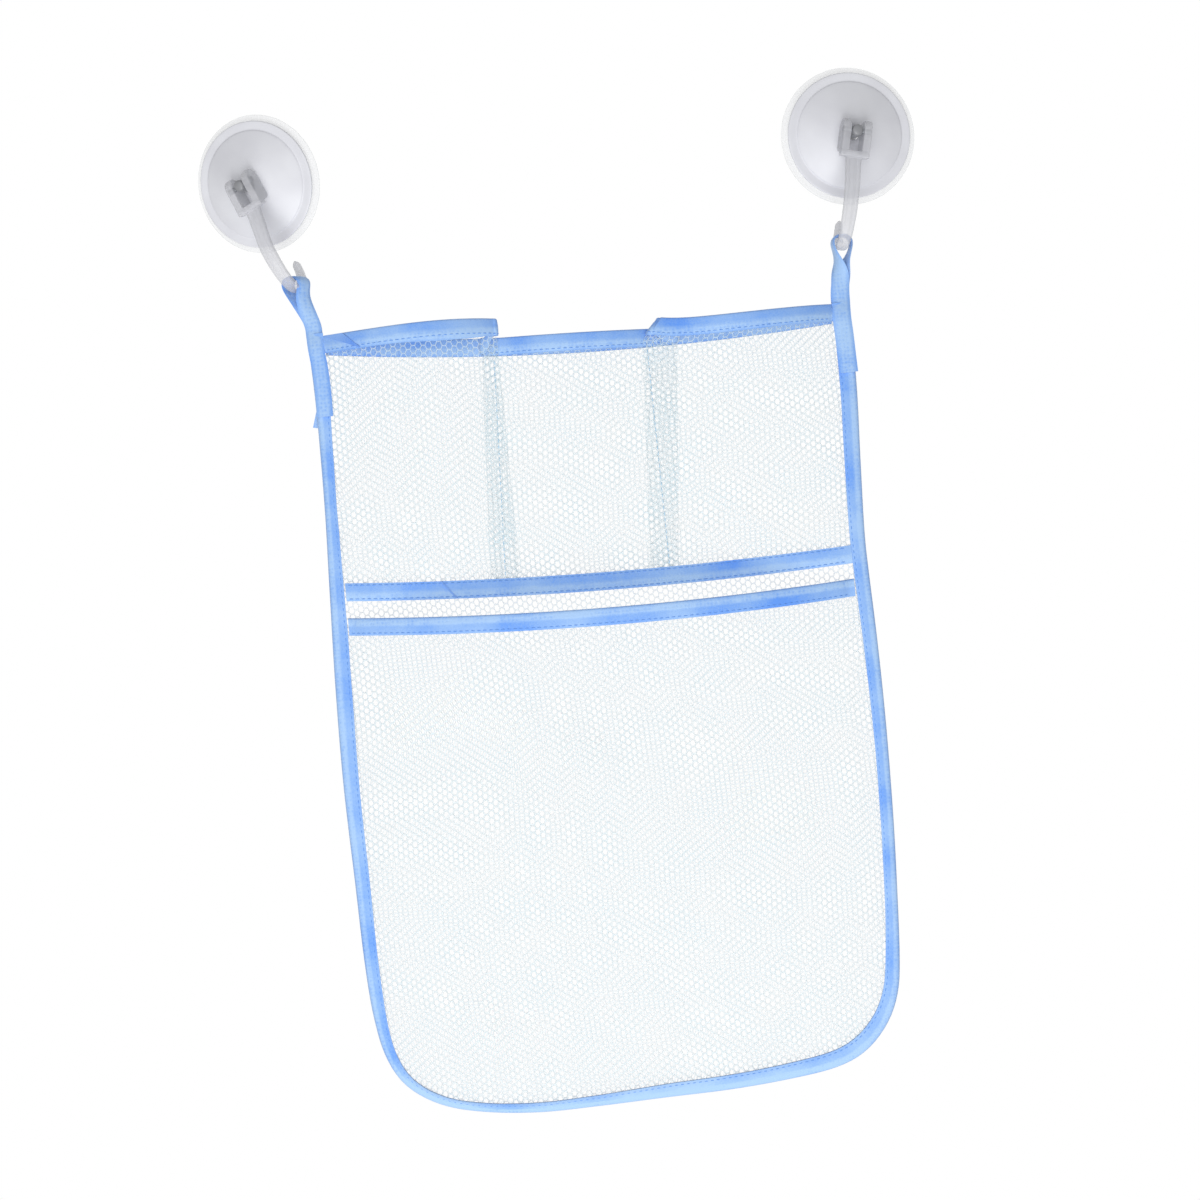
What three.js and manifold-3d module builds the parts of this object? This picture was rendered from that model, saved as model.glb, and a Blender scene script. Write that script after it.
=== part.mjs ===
// Hanging net organizer with two suction hooks, in millimetres, +Z up.
// The origin is about midway between the two hook seats; +Y points at the wall and the pockets face -Y.
import * as THREE from 'three';
import { mergeVertices } from 'three/addons/utils/BufferGeometryUtils.js';
import Module from 'manifold-3d';

const wasm = await Module();
wasm.setup();

// Clearances
const CLEAR = 0.25; // between a net and the tape folded over it
const GAP = 0.3; // between pieces that rest on or run past each other

// Bag outline
const BAG_WIDTH = 272;
const BAG_HEIGHT = 390; // mean top corner down to the bottom edge
const CORNER_RADIUS = 45; // outer radius of the two bottom corners
const CORNER_STEPS = 7; // segments round a bottom corner
const LOOP_DROP = 28; // hook seat down to the mean top corner
const TOP_TILT = 3; // left corner above the mean and right corner below it
const TOP_SAG = 7.5; // middle of the top edge below the corners

// Nets
const NET_THICK = 0.6;
const NET_COLUMN = 21.2; // spacing of the columns of gaps
const NET_ROW = 31; // spacing of the gaps in a column
const NET_STRAND = 6; // width of net left between two gaps

// Tapes
const TAPE_WIDTH = 9;
const TAPE_WALL = 0.4; // thickness of one layer of folded tape
const FLAT_TAPE = 0.7; // thickness of the flat base tape and of the loop tails
const BASE_DROP = 122; // mean top corner down to the top edge of the base tape
const BASE_TILT = 1.2;
const BASE_SAG = 4.8;
const HEM_DROP = 139; // mean top corner down to the mouth of the lower pocket
const HEM_TILT = 0.8;
const HEM_SAG = 5.4;

// Pockets
const LEFT_DIVIDER = -0.3; // share of the half width
const RIGHT_DIVIDER = 0.26;
const SEAM_HALF = 1.5; // half the flat band along a divider seam
const DIVIDER_BLEND = 4.5; // half the run over which the upper hem changes height
const LEFT_RISE = 11; // upper hem above the back's top edge, beside the left divider
const RIGHT_RISE = 7;
const LOWER_BULGE = 24; // how far each pocket stands open
const SIDE_BULGE = 17;
const MIDDLE_BULGE = 9;
const BULGE_FADE = 8; // run over which a bulge dies away beside the edge binding

// Threads
const THREAD_WIDE = 0.6;
const THREAD_THICK = 0.4;
const STITCH_INSET = 1.3; // thread in from the open edge of a tape

// Loops
const LOOP_THICK = 1.2;
const LOOP_FOOT_WIDTH = 8.4;
const LOOP_TOP_WIDTH = 5;
const LOOP_BEND = 7; // bend radius of the tape over the hook, at its mid thickness
const LOOP_CLOSE = 2.5; // how soon below the hook the legs come together
const LOOP_SEAT = 2; // underside of the tape above the bottom of the hook's bend
const LOOP_STEPS = 24; // sections along a loop
const LOOP_PROBE = 0.001; // share of the loop over which its direction is taken
const LOOP_TURN_FROM = 0.15; // share of its height where a leg starts to turn towards the hook
const LOOP_TURN_TO = 0.85;
const LEFT_TAIL = 42;
const RIGHT_TAIL = 35;

// Hooks, each in its own frame: seat at the origin, arm along Z, wall towards +Y
const WALL_SET = 16.5; // seat to the wall when the cup is flat on it
const PIN_RISE = 56; // seat up to the pivot pin
const PIN_SET = 2.5; // seat out to the pivot pin
const BOW_SET = 9.5; // seat out to the arm where it bows furthest from the wall
const BOW_RISE = 18.5;
const TIP_SET = 11; // seat in to the tip of the J
const TIP_RISE = 12.5;
const ARM_THICK = 3.8;
const ARM_TOP_WIDTH = 8;
const TIP_WIDTH = 3.4;
const ARM_EASE = 0.5; // share of the way from the fork to the bow that the arm starts straight
const BOW_ABOVE = 1.35; // height of the curve's handle above the bow, as a share of the bow's height
const BOW_BELOW = 0.5; // height of its handle below the bow, as a share of the bow's height
const BEND_EASE = 0.75; // reach of the handles beside the seat, as a share of the bend's depth
const TIP_EASE = 0.3; // height of the handle below the tip, as a share of the tip's height
const ARM_SIDES = 8; // sides of the arm's cross-section
const ARM_STEPS = 18; // segments along the arm and its J
const EAR_WIDTH = 4;
const FORK_SLOT = 6.6;
const EAR_ROUND = 5.7; // radius of the rounded ear top, which works as the cam
const CAM_SET = 2; // centre of that radius behind the pin
const EAR_STEPS = 9; // segments round an ear top
const FORK_DROP = 13.6; // pin down to the underside of the bar
const BAR_THICK = 3.2;
const BAR_INSET = 0.3; // bar in from the faces of the ears
const PIN_RADIUS = 1.4;
const PIN_STEPS = 16; // segments round the pin and its holes
const HOOKS = {
  left: { side: -1, out: 2.5, up: 1, roll: -23.2, twist: -24, loopTurn: -15 },
  right: { side: 1, out: -1.5, up: -1, roll: 12, twist: 8.5, loopTurn: 5 },
};

// Suction cup and cap, heights measured from the wall
const CUP_RADIUS = 34.5;
const CUP_LIP = 3.5; // width of the flat ring that seals on the wall
const CUP_EDGE = 1.1; // thickness of the cup
const CUP_HOLLOW = 3.2; // depth of the hollow behind the ring
const CUP_POWER = 3; // how late the hollow falls away towards the ring
const CUP_STEPS = 4; // rings along the cup's skin
const STEM_RADIUS = 2.9;
const STEM_CHAMFER = 0.5;
const CAP_INSET = 2.9; // cap's edge in from the cup's edge
const CAP_FLANGE = 5; // width of the flat outer ring
const FLANGE_THICK = 1.3;
const CAP_STEP = 0.7; // height of the step inside the flange
const STEP_RUN = 0.2; // slope of that step
const CAP_CHAMFER = 0.4;
const HUB_RADIUS = 9.5;
const HUB_EDGE = 1; // ring between the hub and the dome
const DOME_POWER = 1.25; // roundness of the dome
const DOME_STEPS = 4;
const CAP_WALL = 1.6;
const ROUND_STEPS = 28; // segments round the cup and the cap

// Values that follow from the sizes above
const HALF = BAG_WIDTH / 2;
const BOTTOM = -LOOP_DROP - BAG_HEIGHT;
const INNER_X = HALF - TAPE_WIDTH; // inner edge of the edge binding
const HEM_HALF = NET_THICK / 2 + CLEAR + TAPE_WALL; // half thickness of a folded hem
const LAYER = HEM_HALF + CLEAR / 2; // each net's distance from the bag's middle plane
const BACK_Y = LAYER;
const FRONT_Y = -LAYER;
const EDGE_SLOT = LAYER + NET_THICK / 2 + CLEAR; // half the slot in the edge binding
const EDGE_HALF = EDGE_SLOT + TAPE_WALL;
const NET_INSET = TAPE_WALL + CLEAR; // net edge in from the outside of its fold
const LEFT_X = LEFT_DIVIDER * HALF;
const RIGHT_X = RIGHT_DIVIDER * HALF;
const POCKETS = [
  { from: -INNER_X, to: LEFT_X - SEAM_HALF, bulge: SIDE_BULGE },
  { from: LEFT_X + SEAM_HALF, to: RIGHT_X - SEAM_HALF, bulge: MIDDLE_BULGE },
  { from: RIGHT_X + SEAM_HALF, to: INNER_X, bulge: SIDE_BULGE },
];
const PIN_HEIGHT = WALL_SET + PIN_SET; // pin from the wall
const HUB_TOP = PIN_HEIGHT - CAM_SET - EAR_ROUND - GAP;
const CUP_RING = CUP_RADIUS - CUP_LIP; // inner radius of the sealing ring
const CAP_RADIUS = CUP_RADIUS - CAP_INSET;
const STEP_RADIUS = CAP_RADIUS - CAP_FLANGE;

const TAPE_BLUE = [0x86aeee, 0.75, 0];
const THREAD_BLUE = [0x5f93de, 0.8, 0];
const NET_WHITE = [0xe6f2f8, 0.8, 0];
const CLEAR_PLASTIC = [0xe9eef0, 0.15, 0];
const WHITE_PLASTIC = [0xdcdce0, 0.35, 0];
const PIN_STEEL = [0xb8babd, 0.3, 0.9];

const object = new THREE.Group();

function place(parent, name, geometry, [color, roughness, metalness]) {
  const mesh = new THREE.Mesh(geometry, new THREE.MeshStandardMaterial({ color, roughness, metalness }));
  mesh.name = name;
  parent.add(mesh);
  return mesh;
}

// A closed geometry from points and triangles, turned so that its faces point out.
function closedGeometry(points, triangles) {
  const cross = new THREE.Vector3();
  let volume = 0;
  for (const [a, b, c] of triangles) {
    volume += points[a].dot(cross.crossVectors(points[b], points[c]));
  }
  const facing = volume < 0 ? triangles.map(([a, b, c]) => [a, c, b]) : triangles;
  const geometry = new THREE.BufferGeometry();
  const flat = points.flatMap((p) => p.toArray());
  geometry.setAttribute('position', new THREE.Float32BufferAttribute(flat, 3));
  geometry.setIndex(facing.flat());
  return geometry;
}

// A section, as [u, v] pairs, carried along frames that each hold a point p and the vectors u and v.
function sweep(sectionAt, frames) {
  const sections = frames.map((frame, i) => sectionAt(i / (frames.length - 1)));
  const n = sections[0].length;
  const points = frames.flatMap(({ p, u, v }, i) =>
    sections[i].map(([a, b]) => p.clone().addScaledVector(u, a).addScaledVector(v, b)));
  const triangles = [];
  for (let i = 0; i + 1 < frames.length; i += 1) {
    for (let k = 0; k < n; k += 1) {
      const a = i * n + k;
      const b = i * n + ((k + 1) % n);
      triangles.push([a, b, b + n], [a, b + n, a + n]);
    }
  }
  const flatSection = (section) => section.map(([a, b]) => new THREE.Vector2(a, b));
  const last = (frames.length - 1) * n;
  for (const [a, b, c] of THREE.ShapeUtils.triangulateShape(flatSection(sections[0]), [])) {
    triangles.push([a, c, b]);
  }
  for (const [a, b, c] of THREE.ShapeUtils.triangulateShape(flatSection(sections.at(-1)), [])) {
    triangles.push([last + a, last + b, last + c]);
  }
  return closedGeometry(points, triangles);
}

function toSolid(geometry) {
  const plain = geometry.clone();
  plain.deleteAttribute('normal');
  plain.deleteAttribute('uv');
  const merged = mergeVertices(plain);
  return new wasm.Manifold(new wasm.Mesh({
    numProp: 3,
    vertProperties: merged.attributes.position.array,
    triVerts: new Uint32Array(merged.index.array),
  }));
}

function toGeometry(solid) {
  const { vertProperties, triVerts } = solid.getMesh();
  const geometry = new THREE.BufferGeometry();
  geometry.setAttribute('position', new THREE.BufferAttribute(new Float32Array(vertProperties), 3));
  geometry.setIndex(new THREE.BufferAttribute(new Uint32Array(triVerts), 1));
  return geometry;
}

function box(width, depth, height, x, y, z) {
  return new THREE.BoxGeometry(width, depth, height).translate(x, y, z);
}

// Cross-section of a tape folded over an edge: its fold lies at u = 0 and it opens towards +u.
function foldSection(slot) {
  const outer = slot + TAPE_WALL;
  return [
    [0, -outer], [TAPE_WIDTH, -outer], [TAPE_WIDTH, -slot], [TAPE_WALL, -slot],
    [TAPE_WALL, slot], [TAPE_WIDTH, slot], [TAPE_WIDTH, outer], [0, outer],
  ];
}

function stripSection(from, to, near, far) {
  return [[from, near], [to, near], [to, far], [from, far]];
}

const range = (count, make) => Array.from({ length: count }, (_, i) => make(i));
const spread = (from, to, steps) => range(steps + 1, (i) => from + ((to - from) * i) / steps);
const square = (value) => value * value;
const shareOf = (x, from, to) => THREE.MathUtils.clamp((x - from) / (to - from), 0, 1);
const AWAY = new THREE.Vector3(0, 1, 0);
const DOWN = new THREE.Vector3(0, 0, -1);

// Curves across the bag
function acrossBag(drop, tilt, sag) {
  return (x) => -LOOP_DROP - drop - tilt * (x / HALF) - sag * (1 - square(x / HALF));
}
const topEdge = acrossBag(0, TOP_TILT, TOP_SAG);
const baseEdge = acrossBag(BASE_DROP, BASE_TILT, BASE_SAG);
const mouthEdge = acrossBag(HEM_DROP, HEM_TILT, HEM_SAG);

function upperHem(x) {
  const side = Math.sign(x) || 1;
  const divider = side < 0 ? LEFT_X : RIGHT_X;
  const rise = side < 0 ? LEFT_RISE : RIGHT_RISE;
  const past = THREE.MathUtils.smoothstep(side * (x - divider), -DIVIDER_BLEND, DIVIDER_BLEND);
  const along = shareOf(x, divider, side * HALF);
  return topEdge(x) + past * rise * (1 - along);
}

// Room between a point of the bag and the inner edge of the edge binding
function edgeRoom(x, z) {
  const across = Math.abs(x) - (HALF - CORNER_RADIUS);
  const below = BOTTOM + CORNER_RADIUS - z;
  if (across > 0 && below > 0) return CORNER_RADIUS - TAPE_WIDTH - Math.hypot(across, below);
  return Math.min(INNER_X - Math.abs(x), z - BOTTOM - TAPE_WIDTH);
}

// Middle surface of each net
const arch = (share) => 4 * share * (1 - share);
const swell = (share) => 1 - square(1 - THREE.MathUtils.clamp(share, 0, 1));

function lowerSurface(x, z) {
  const floor = BOTTOM + TAPE_WIDTH;
  const ceiling = mouthEdge(x) - TAPE_WIDTH;
  const up = swell((Math.min(z, ceiling) - floor) / (ceiling - floor));
  const fade = THREE.MathUtils.clamp(edgeRoom(x, z) / BULGE_FADE, 0, 1);
  return FRONT_Y - LOWER_BULGE * arch(shareOf(x, -INNER_X, INNER_X)) * up * fade;
}

function upperSurface(x, z) {
  const floor = baseEdge(x);
  const ceiling = upperHem(x) - TAPE_WIDTH;
  const up = swell((Math.min(z, ceiling) - floor) / (ceiling - floor));
  const bulges = POCKETS.map(({ from, to, bulge }) => bulge * arch(shareOf(x, from, to)));
  return FRONT_Y - Math.max(...bulges) * up;
}

// Corners of the hexagonal gaps, in offset columns, that fit inside a part of the bag.
function netGaps(from, to, floor, ceiling) {
  const high = (NET_ROW - NET_STRAND) / 2;
  const wide = NET_COLUMN * (2 / 3) - NET_STRAND / Math.sqrt(3);
  const columns = Math.max(1, Math.floor((to - from - NET_STRAND - 2 * wide) / NET_COLUMN) + 1);
  const gaps = [];
  for (let i = 0; i < columns; i += 1) {
    const x = (from + to) / 2 + (i - (columns - 1) / 2) * NET_COLUMN;
    const rows = Math.floor((ceiling(x) - floor(x) - NET_STRAND) / NET_ROW) - (i % 2);
    for (let k = 0; k < rows; k += 1) {
      const z = (floor(x) + ceiling(x)) / 2 + (k - (rows - 1) / 2) * NET_ROW;
      const corners = range(6, (turn) => new THREE.Vector2(
        x + wide * Math.cos((turn * Math.PI) / 3),
        z + (high / Math.sin(Math.PI / 3)) * Math.sin((turn * Math.PI) / 3),
      ));
      if (corners.every((c) => edgeRoom(c.x, c.y) > NET_STRAND / 2)) gaps.push(corners);
    }
  }
  return gaps;
}

const { isClockWise, triangulateShape } = THREE.ShapeUtils;

// Flat triangles that fill a loop of points around its gaps.
function fill(loop, gaps) {
  const all = [...loop, ...gaps.flat()];
  return triangulateShape(loop, gaps).map((triangle) => triangle.map((i) => all[i]));
}

// Flat triangles of the band between an outer and an inner loop, given as pairs of points.
function band(pairs) {
  return pairs.flatMap(([outer, inner], i) => {
    const [nextOuter, nextInner] = pairs[(i + 1) % pairs.length];
    return [[outer, nextOuter, nextInner], [outer, nextInner, inner]];
  }).filter(([a, b, c]) => !a.equals(b) && !b.equals(c) && !c.equals(a));
}

// A net from its flat triangles, its rim and its gaps, given a thickness along Y about a surface.
function net(triangles, rim, gaps, surface) {
  const position = [];
  const face = (...corners) => {
    for (const [{ x, y: z }, side] of corners) {
      position.push(x, surface(x, z) + (side * NET_THICK) / 2, z);
    }
  };
  for (const triangle of triangles) {
    const [a, b, c] = isClockWise(triangle) ? triangle.toReversed() : triangle;
    face([a, -1], [b, -1], [c, -1]);
    face([a, 1], [c, 1], [b, 1]);
  }
  const wall = (loop) => loop.forEach((a, i) => {
    const b = loop[(i + 1) % loop.length];
    face([b, -1], [a, -1], [a, 1]);
    face([b, -1], [a, 1], [b, 1]);
  });
  wall(isClockWise(rim) ? rim.toReversed() : rim);
  gaps.forEach((gap) => wall(isClockWise(gap) ? gap : gap.toReversed()));
  const geometry = new THREE.BufferGeometry();
  geometry.setAttribute('position', new THREE.Float32BufferAttribute(position, 3));
  return geometry;
}

// The rounded lower part of the bag's outline, inset, from the left side round to the right.
function bagFoot(inset) {
  const radius = CORNER_RADIUS - inset;
  const corner = (side, turn) => new THREE.Vector2(
    side * (HALF - CORNER_RADIUS + radius * Math.cos(turn)),
    BOTTOM + CORNER_RADIUS - radius * Math.sin(turn),
  );
  const turns = spread(0, Math.PI / 2, CORNER_STEPS);
  return [...turns.map((t) => corner(-1, t)), ...turns.toReversed().map((t) => corner(1, t))];
}

const ACROSS = 18; // points along a curve across the bag
const POCKET_ACROSS = 7; // points along the mouth of a small pocket
const fullX = spread(-INNER_X, INNER_X, ACROSS);
const stripX = POCKETS.flatMap(({ from, to }) => spread(from, to, POCKET_ACROSS));
const openEdge = (edge) => (x) => edge(x) - TAPE_WIDTH;
const bagFloor = () => BOTTOM + TAPE_WIDTH;

// Pairs of rim and crease points along an edge, with the rim run out into the binding at both ends.
function edgePairs(places, rimEdge, creaseEdge) {
  const ends = HALF - NET_INSET - INNER_X;
  const pair = (x, out) => [
    new THREE.Vector2(x + out, rimEdge(x + out)),
    new THREE.Vector2(x, creaseEdge(x)),
  ];
  return [
    pair(places[0], -ends),
    ...places.map((x) => pair(x, 0)),
    pair(places.at(-1), ends),
  ];
}
const inRim = (edge) => (x) => edge(x) - NET_INSET;

const backRim = [
  ...bagFoot(NET_INSET),
  ...edgePairs(fullX, inRim(topEdge), topEdge).map(([rim]) => rim).toReversed(),
];
const backGaps = netGaps(-INNER_X, INNER_X, bagFloor, openEdge(topEdge));
place(object, 'back_net', net(fill(backRim, backGaps), backRim, backGaps, () => BACK_Y), NET_WHITE);

// The lower pocket lies flat inside its tapes and swells from the crease at their inner edges.
const creaseFoot = bagFoot(TAPE_WIDTH);
const lowerPairs = [
  ...bagFoot(NET_INSET).map((point, i) => [point, creaseFoot[i]]),
  ...edgePairs(fullX, inRim(mouthEdge), openEdge(mouthEdge)).toReversed(),
];
const lowerGaps = netGaps(-INNER_X, INNER_X, bagFloor, openEdge(mouthEdge));
const mouthCrease = fullX.map((x) => new THREE.Vector2(x, openEdge(mouthEdge)(x)));
const lowerCrease = [...creaseFoot, ...mouthCrease.toReversed()];
place(object, 'lower_pocket_net', net(
  [...band(lowerPairs), ...fill(lowerCrease, lowerGaps)],
  lowerPairs.map(([rim]) => rim),
  lowerGaps,
  lowerSurface,
), NET_WHITE);

// The upper strip swells into three pockets and lies flat along the two divider seams.
const stripPairs = [
  ...edgePairs(stripX, (x) => baseEdge(x) - TAPE_WIDTH / 2, baseEdge),
  ...edgePairs(stripX, inRim(upperHem), openEdge(upperHem)).toReversed(),
];
const stripTop = stripX.map((x) => new THREE.Vector2(x, openEdge(upperHem)(x)));
const stripFoot = stripX.map((x) => new THREE.Vector2(x, baseEdge(x)));
const stripLoop = (first, last) => [
  ...stripFoot.slice(first, last + 1),
  ...stripTop.slice(first, last + 1).toReversed(),
];
const pocketFirst = (i) => i * (POCKET_ACROSS + 1);
const pocketLoop = (i) => stripLoop(pocketFirst(i), pocketFirst(i) + POCKET_ACROSS);
const seamLoop = (i) => stripLoop(pocketFirst(i) - 1, pocketFirst(i));
const pocketGaps = POCKETS.map(({ from, to }) => netGaps(from, to, baseEdge, openEdge(upperHem)));
place(object, 'upper_pocket_net', net(
  [
    ...band(stripPairs),
    ...pocketGaps.flatMap((gaps, i) => fill(pocketLoop(i), gaps)),
    ...fill(seamLoop(1), []),
    ...fill(seamLoop(2), []),
  ],
  stripPairs.map(([rim]) => rim),
  pocketGaps.flat(),
  upperSurface,
), NET_WHITE);

// The edge binding is folded over both nets, down the left side, round the bottom and up the right.
const edgePath = [
  new THREE.Vector2(-HALF, topEdge(-HALF)),
  ...bagFoot(0),
  new THREE.Vector2(HALF, topEdge(HALF)),
];
function inward(point) {
  const across = Math.abs(point.x) - (HALF - CORNER_RADIUS);
  const below = BOTTOM + CORNER_RADIUS - point.y;
  const side = Math.sign(point.x);
  return new THREE.Vector3(-side * Math.max(across, 0), 0, Math.max(below, 0)).normalize();
}
const edgeFrames = edgePath.map((point) => ({
  p: new THREE.Vector3(point.x, 0, point.y),
  u: inward(point),
  v: AWAY,
}));
place(object, 'edge_binding', sweep(() => foldSection(EDGE_SLOT), edgeFrames), TAPE_BLUE);

// Folded hems and flat tapes run from side to side between the legs of the edge binding.
const tapeEnd = INNER_X - GAP;
const insideEdges = (places) => places.map((x) => THREE.MathUtils.clamp(x, -tapeEnd, tapeEnd));
const hemX = insideEdges(fullX);
const upperX = insideEdges(stripX);

function tapeFrames(places, edge, surface) {
  return places.map((x) => ({
    p: new THREE.Vector3(x, surface(x, edge(x)), edge(x)),
    u: DOWN,
    v: AWAY,
  }));
}
const backTopFrames = tapeFrames(hemX, topEdge, () => BACK_Y);
const upperFrames = tapeFrames(upperX, upperHem, upperSurface);
const baseFrames = tapeFrames(hemX, baseEdge, () => FRONT_Y);
const mouthFrames = tapeFrames(hemX, mouthEdge, lowerSurface);
const hemSection = () => foldSection(NET_THICK / 2 + CLEAR);
const baseNear = -NET_THICK / 2 - CLEAR - FLAT_TAPE;

place(object, 'back_top_binding', sweep(hemSection, backTopFrames), TAPE_BLUE);
place(object, 'upper_hem_tape', sweep(hemSection, upperFrames), TAPE_BLUE);
place(object, 'pocket_base_tape', sweep(
  () => stripSection(0, TAPE_WIDTH, baseNear, baseNear + FLAT_TAPE),
  baseFrames,
), TAPE_BLUE);
place(object, 'lower_hem_tape', sweep(hemSection, mouthFrames), TAPE_BLUE);

// A thread lies on the front of a tape, a set distance from the tape's fold.
function thread(name, frames, front, from) {
  const near = front - GAP - THREAD_THICK;
  const section = stripSection(from, from + THREAD_WIDE, near, near + THREAD_THICK);
  place(object, name, sweep(() => section, frames), THREAD_BLUE);
}
const openSide = TAPE_WIDTH - STITCH_INSET;
const sewnEdge = edgeFrames.map(({ p, u, v }, i) => {
  const last = edgeFrames.length - 1;
  if (i > 0 && i < last) return { p, u, v };
  const tail = i === 0 ? LEFT_TAIL : RIGHT_TAIL;
  return { p: p.clone().addScaledVector(DOWN, tail + TAPE_WIDTH), u, v };
});
thread('edge_stitching', sewnEdge, -EDGE_HALF, openSide);
thread('upper_hem_stitching', upperFrames, -HEM_HALF, openSide);
thread('lower_hem_stitching', mouthFrames, -HEM_HALF, openSide);
thread('base_upper_stitching', baseFrames, baseNear, STITCH_INSET);
thread('base_lower_stitching', baseFrames, baseNear, openSide);

// Each divider seam sews the upper strip to the back net, from the base tape up to the hem.
for (const [name, x] of [['left_divider_seam', LEFT_X], ['right_divider_seam', RIGHT_X]]) {
  const low = baseEdge(x) + GAP;
  const high = upperHem(x) - TAPE_WIDTH - DIVIDER_BLEND;
  const y = FRONT_Y - NET_THICK / 2 - GAP - THREAD_THICK / 2;
  place(object, name, box(THREAD_WIDE, THREAD_THICK, high - low, x, y, (high + low) / 2), THREAD_BLUE);
}

// A loop stands on a top corner: a rolled foot, one leg in front, a bend over the hook, one leg behind.
function loopGeometry(side, out, up, turn) {
  const legSet = LOOP_THICK / 2 + CLEAR;
  const footRadius = legSet + LOOP_THICK / 2;
  const footZ = topEdge(side * HALF) + GAP + footRadius;
  const foot = new THREE.Vector3(side * (HALF - TAPE_WIDTH / 2), 0, footZ);
  const head = new THREE.Vector3(side * (HALF + out), 0, up + LOOP_SEAT + LOOP_THICK / 2);
  const rise = head.z - foot.z;
  const spreadHalf = Math.sqrt(LOOP_BEND * rise) / 2;
  const turned = THREE.MathUtils.degToRad(turn);
  const sense = turn < 0 ? 1 : -1; // the first leg starts on the side that it swings to
  const pointAt = (t) => {
    const share = Math.max(Math.sin(Math.PI * t), 0);
    const swing = -spreadHalf * Math.sin(2 * Math.PI * t) * share ** LOOP_CLOSE;
    const lean = THREE.MathUtils.smoothstep(share, 0, LOOP_TURN_TO);
    return new THREE.Vector3(
      THREE.MathUtils.lerp(foot.x, head.x, lean) + swing * Math.cos(turned),
      sense * legSet * Math.cos(Math.PI * t) + swing * Math.sin(turned),
      foot.z + rise * share,
    );
  };
  const flat = new THREE.Vector3(1, 0, 0);
  const overHook = new THREE.Vector3(-Math.sin(turned), Math.cos(turned), 0).multiplyScalar(sense);
  const frames = spread(0, 1, LOOP_STEPS).map((t) => {
    const before = Math.max(t - LOOP_PROBE, 0);
    const along = pointAt(Math.min(t + LOOP_PROBE, 1)).sub(pointAt(before)).normalize();
    const turnShare = THREE.MathUtils.smoothstep(Math.sin(Math.PI * t), LOOP_TURN_FROM, LOOP_TURN_TO);
    const wide = flat.clone().lerp(overHook, turnShare);
    const u = wide.addScaledVector(along, -wide.dot(along)).normalize();
    return { p: pointAt(t), u, v: u.clone().cross(along) };
  });
  const tape = toSolid(sweep((t) => {
    const half = THREE.MathUtils.lerp(LOOP_FOOT_WIDTH, LOOP_TOP_WIDTH, Math.sin(Math.PI * t)) / 2;
    return stripSection(-half, half, -LOOP_THICK / 2, LOOP_THICK / 2);
  }, frames));
  const roll = new THREE.CylinderGeometry(footRadius, footRadius, LOOP_FOOT_WIDTH, PIN_STEPS);
  roll.rotateZ(Math.PI / 2).translate(...foot.toArray());
  return toGeometry(tape.add(toSolid(roll)));
}

// A drill along X for the pin, at a height along Y.
function pinDrill(height) {
  const length = 2 * (FORK_SLOT + 2 * EAR_WIDTH);
  const drill = new THREE.CylinderGeometry(PIN_RADIUS + CLEAR, PIN_RADIUS + CLEAR, length, PIN_STEPS);
  return toSolid(drill.rotateZ(Math.PI / 2).translate(0, height, 0));
}

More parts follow.
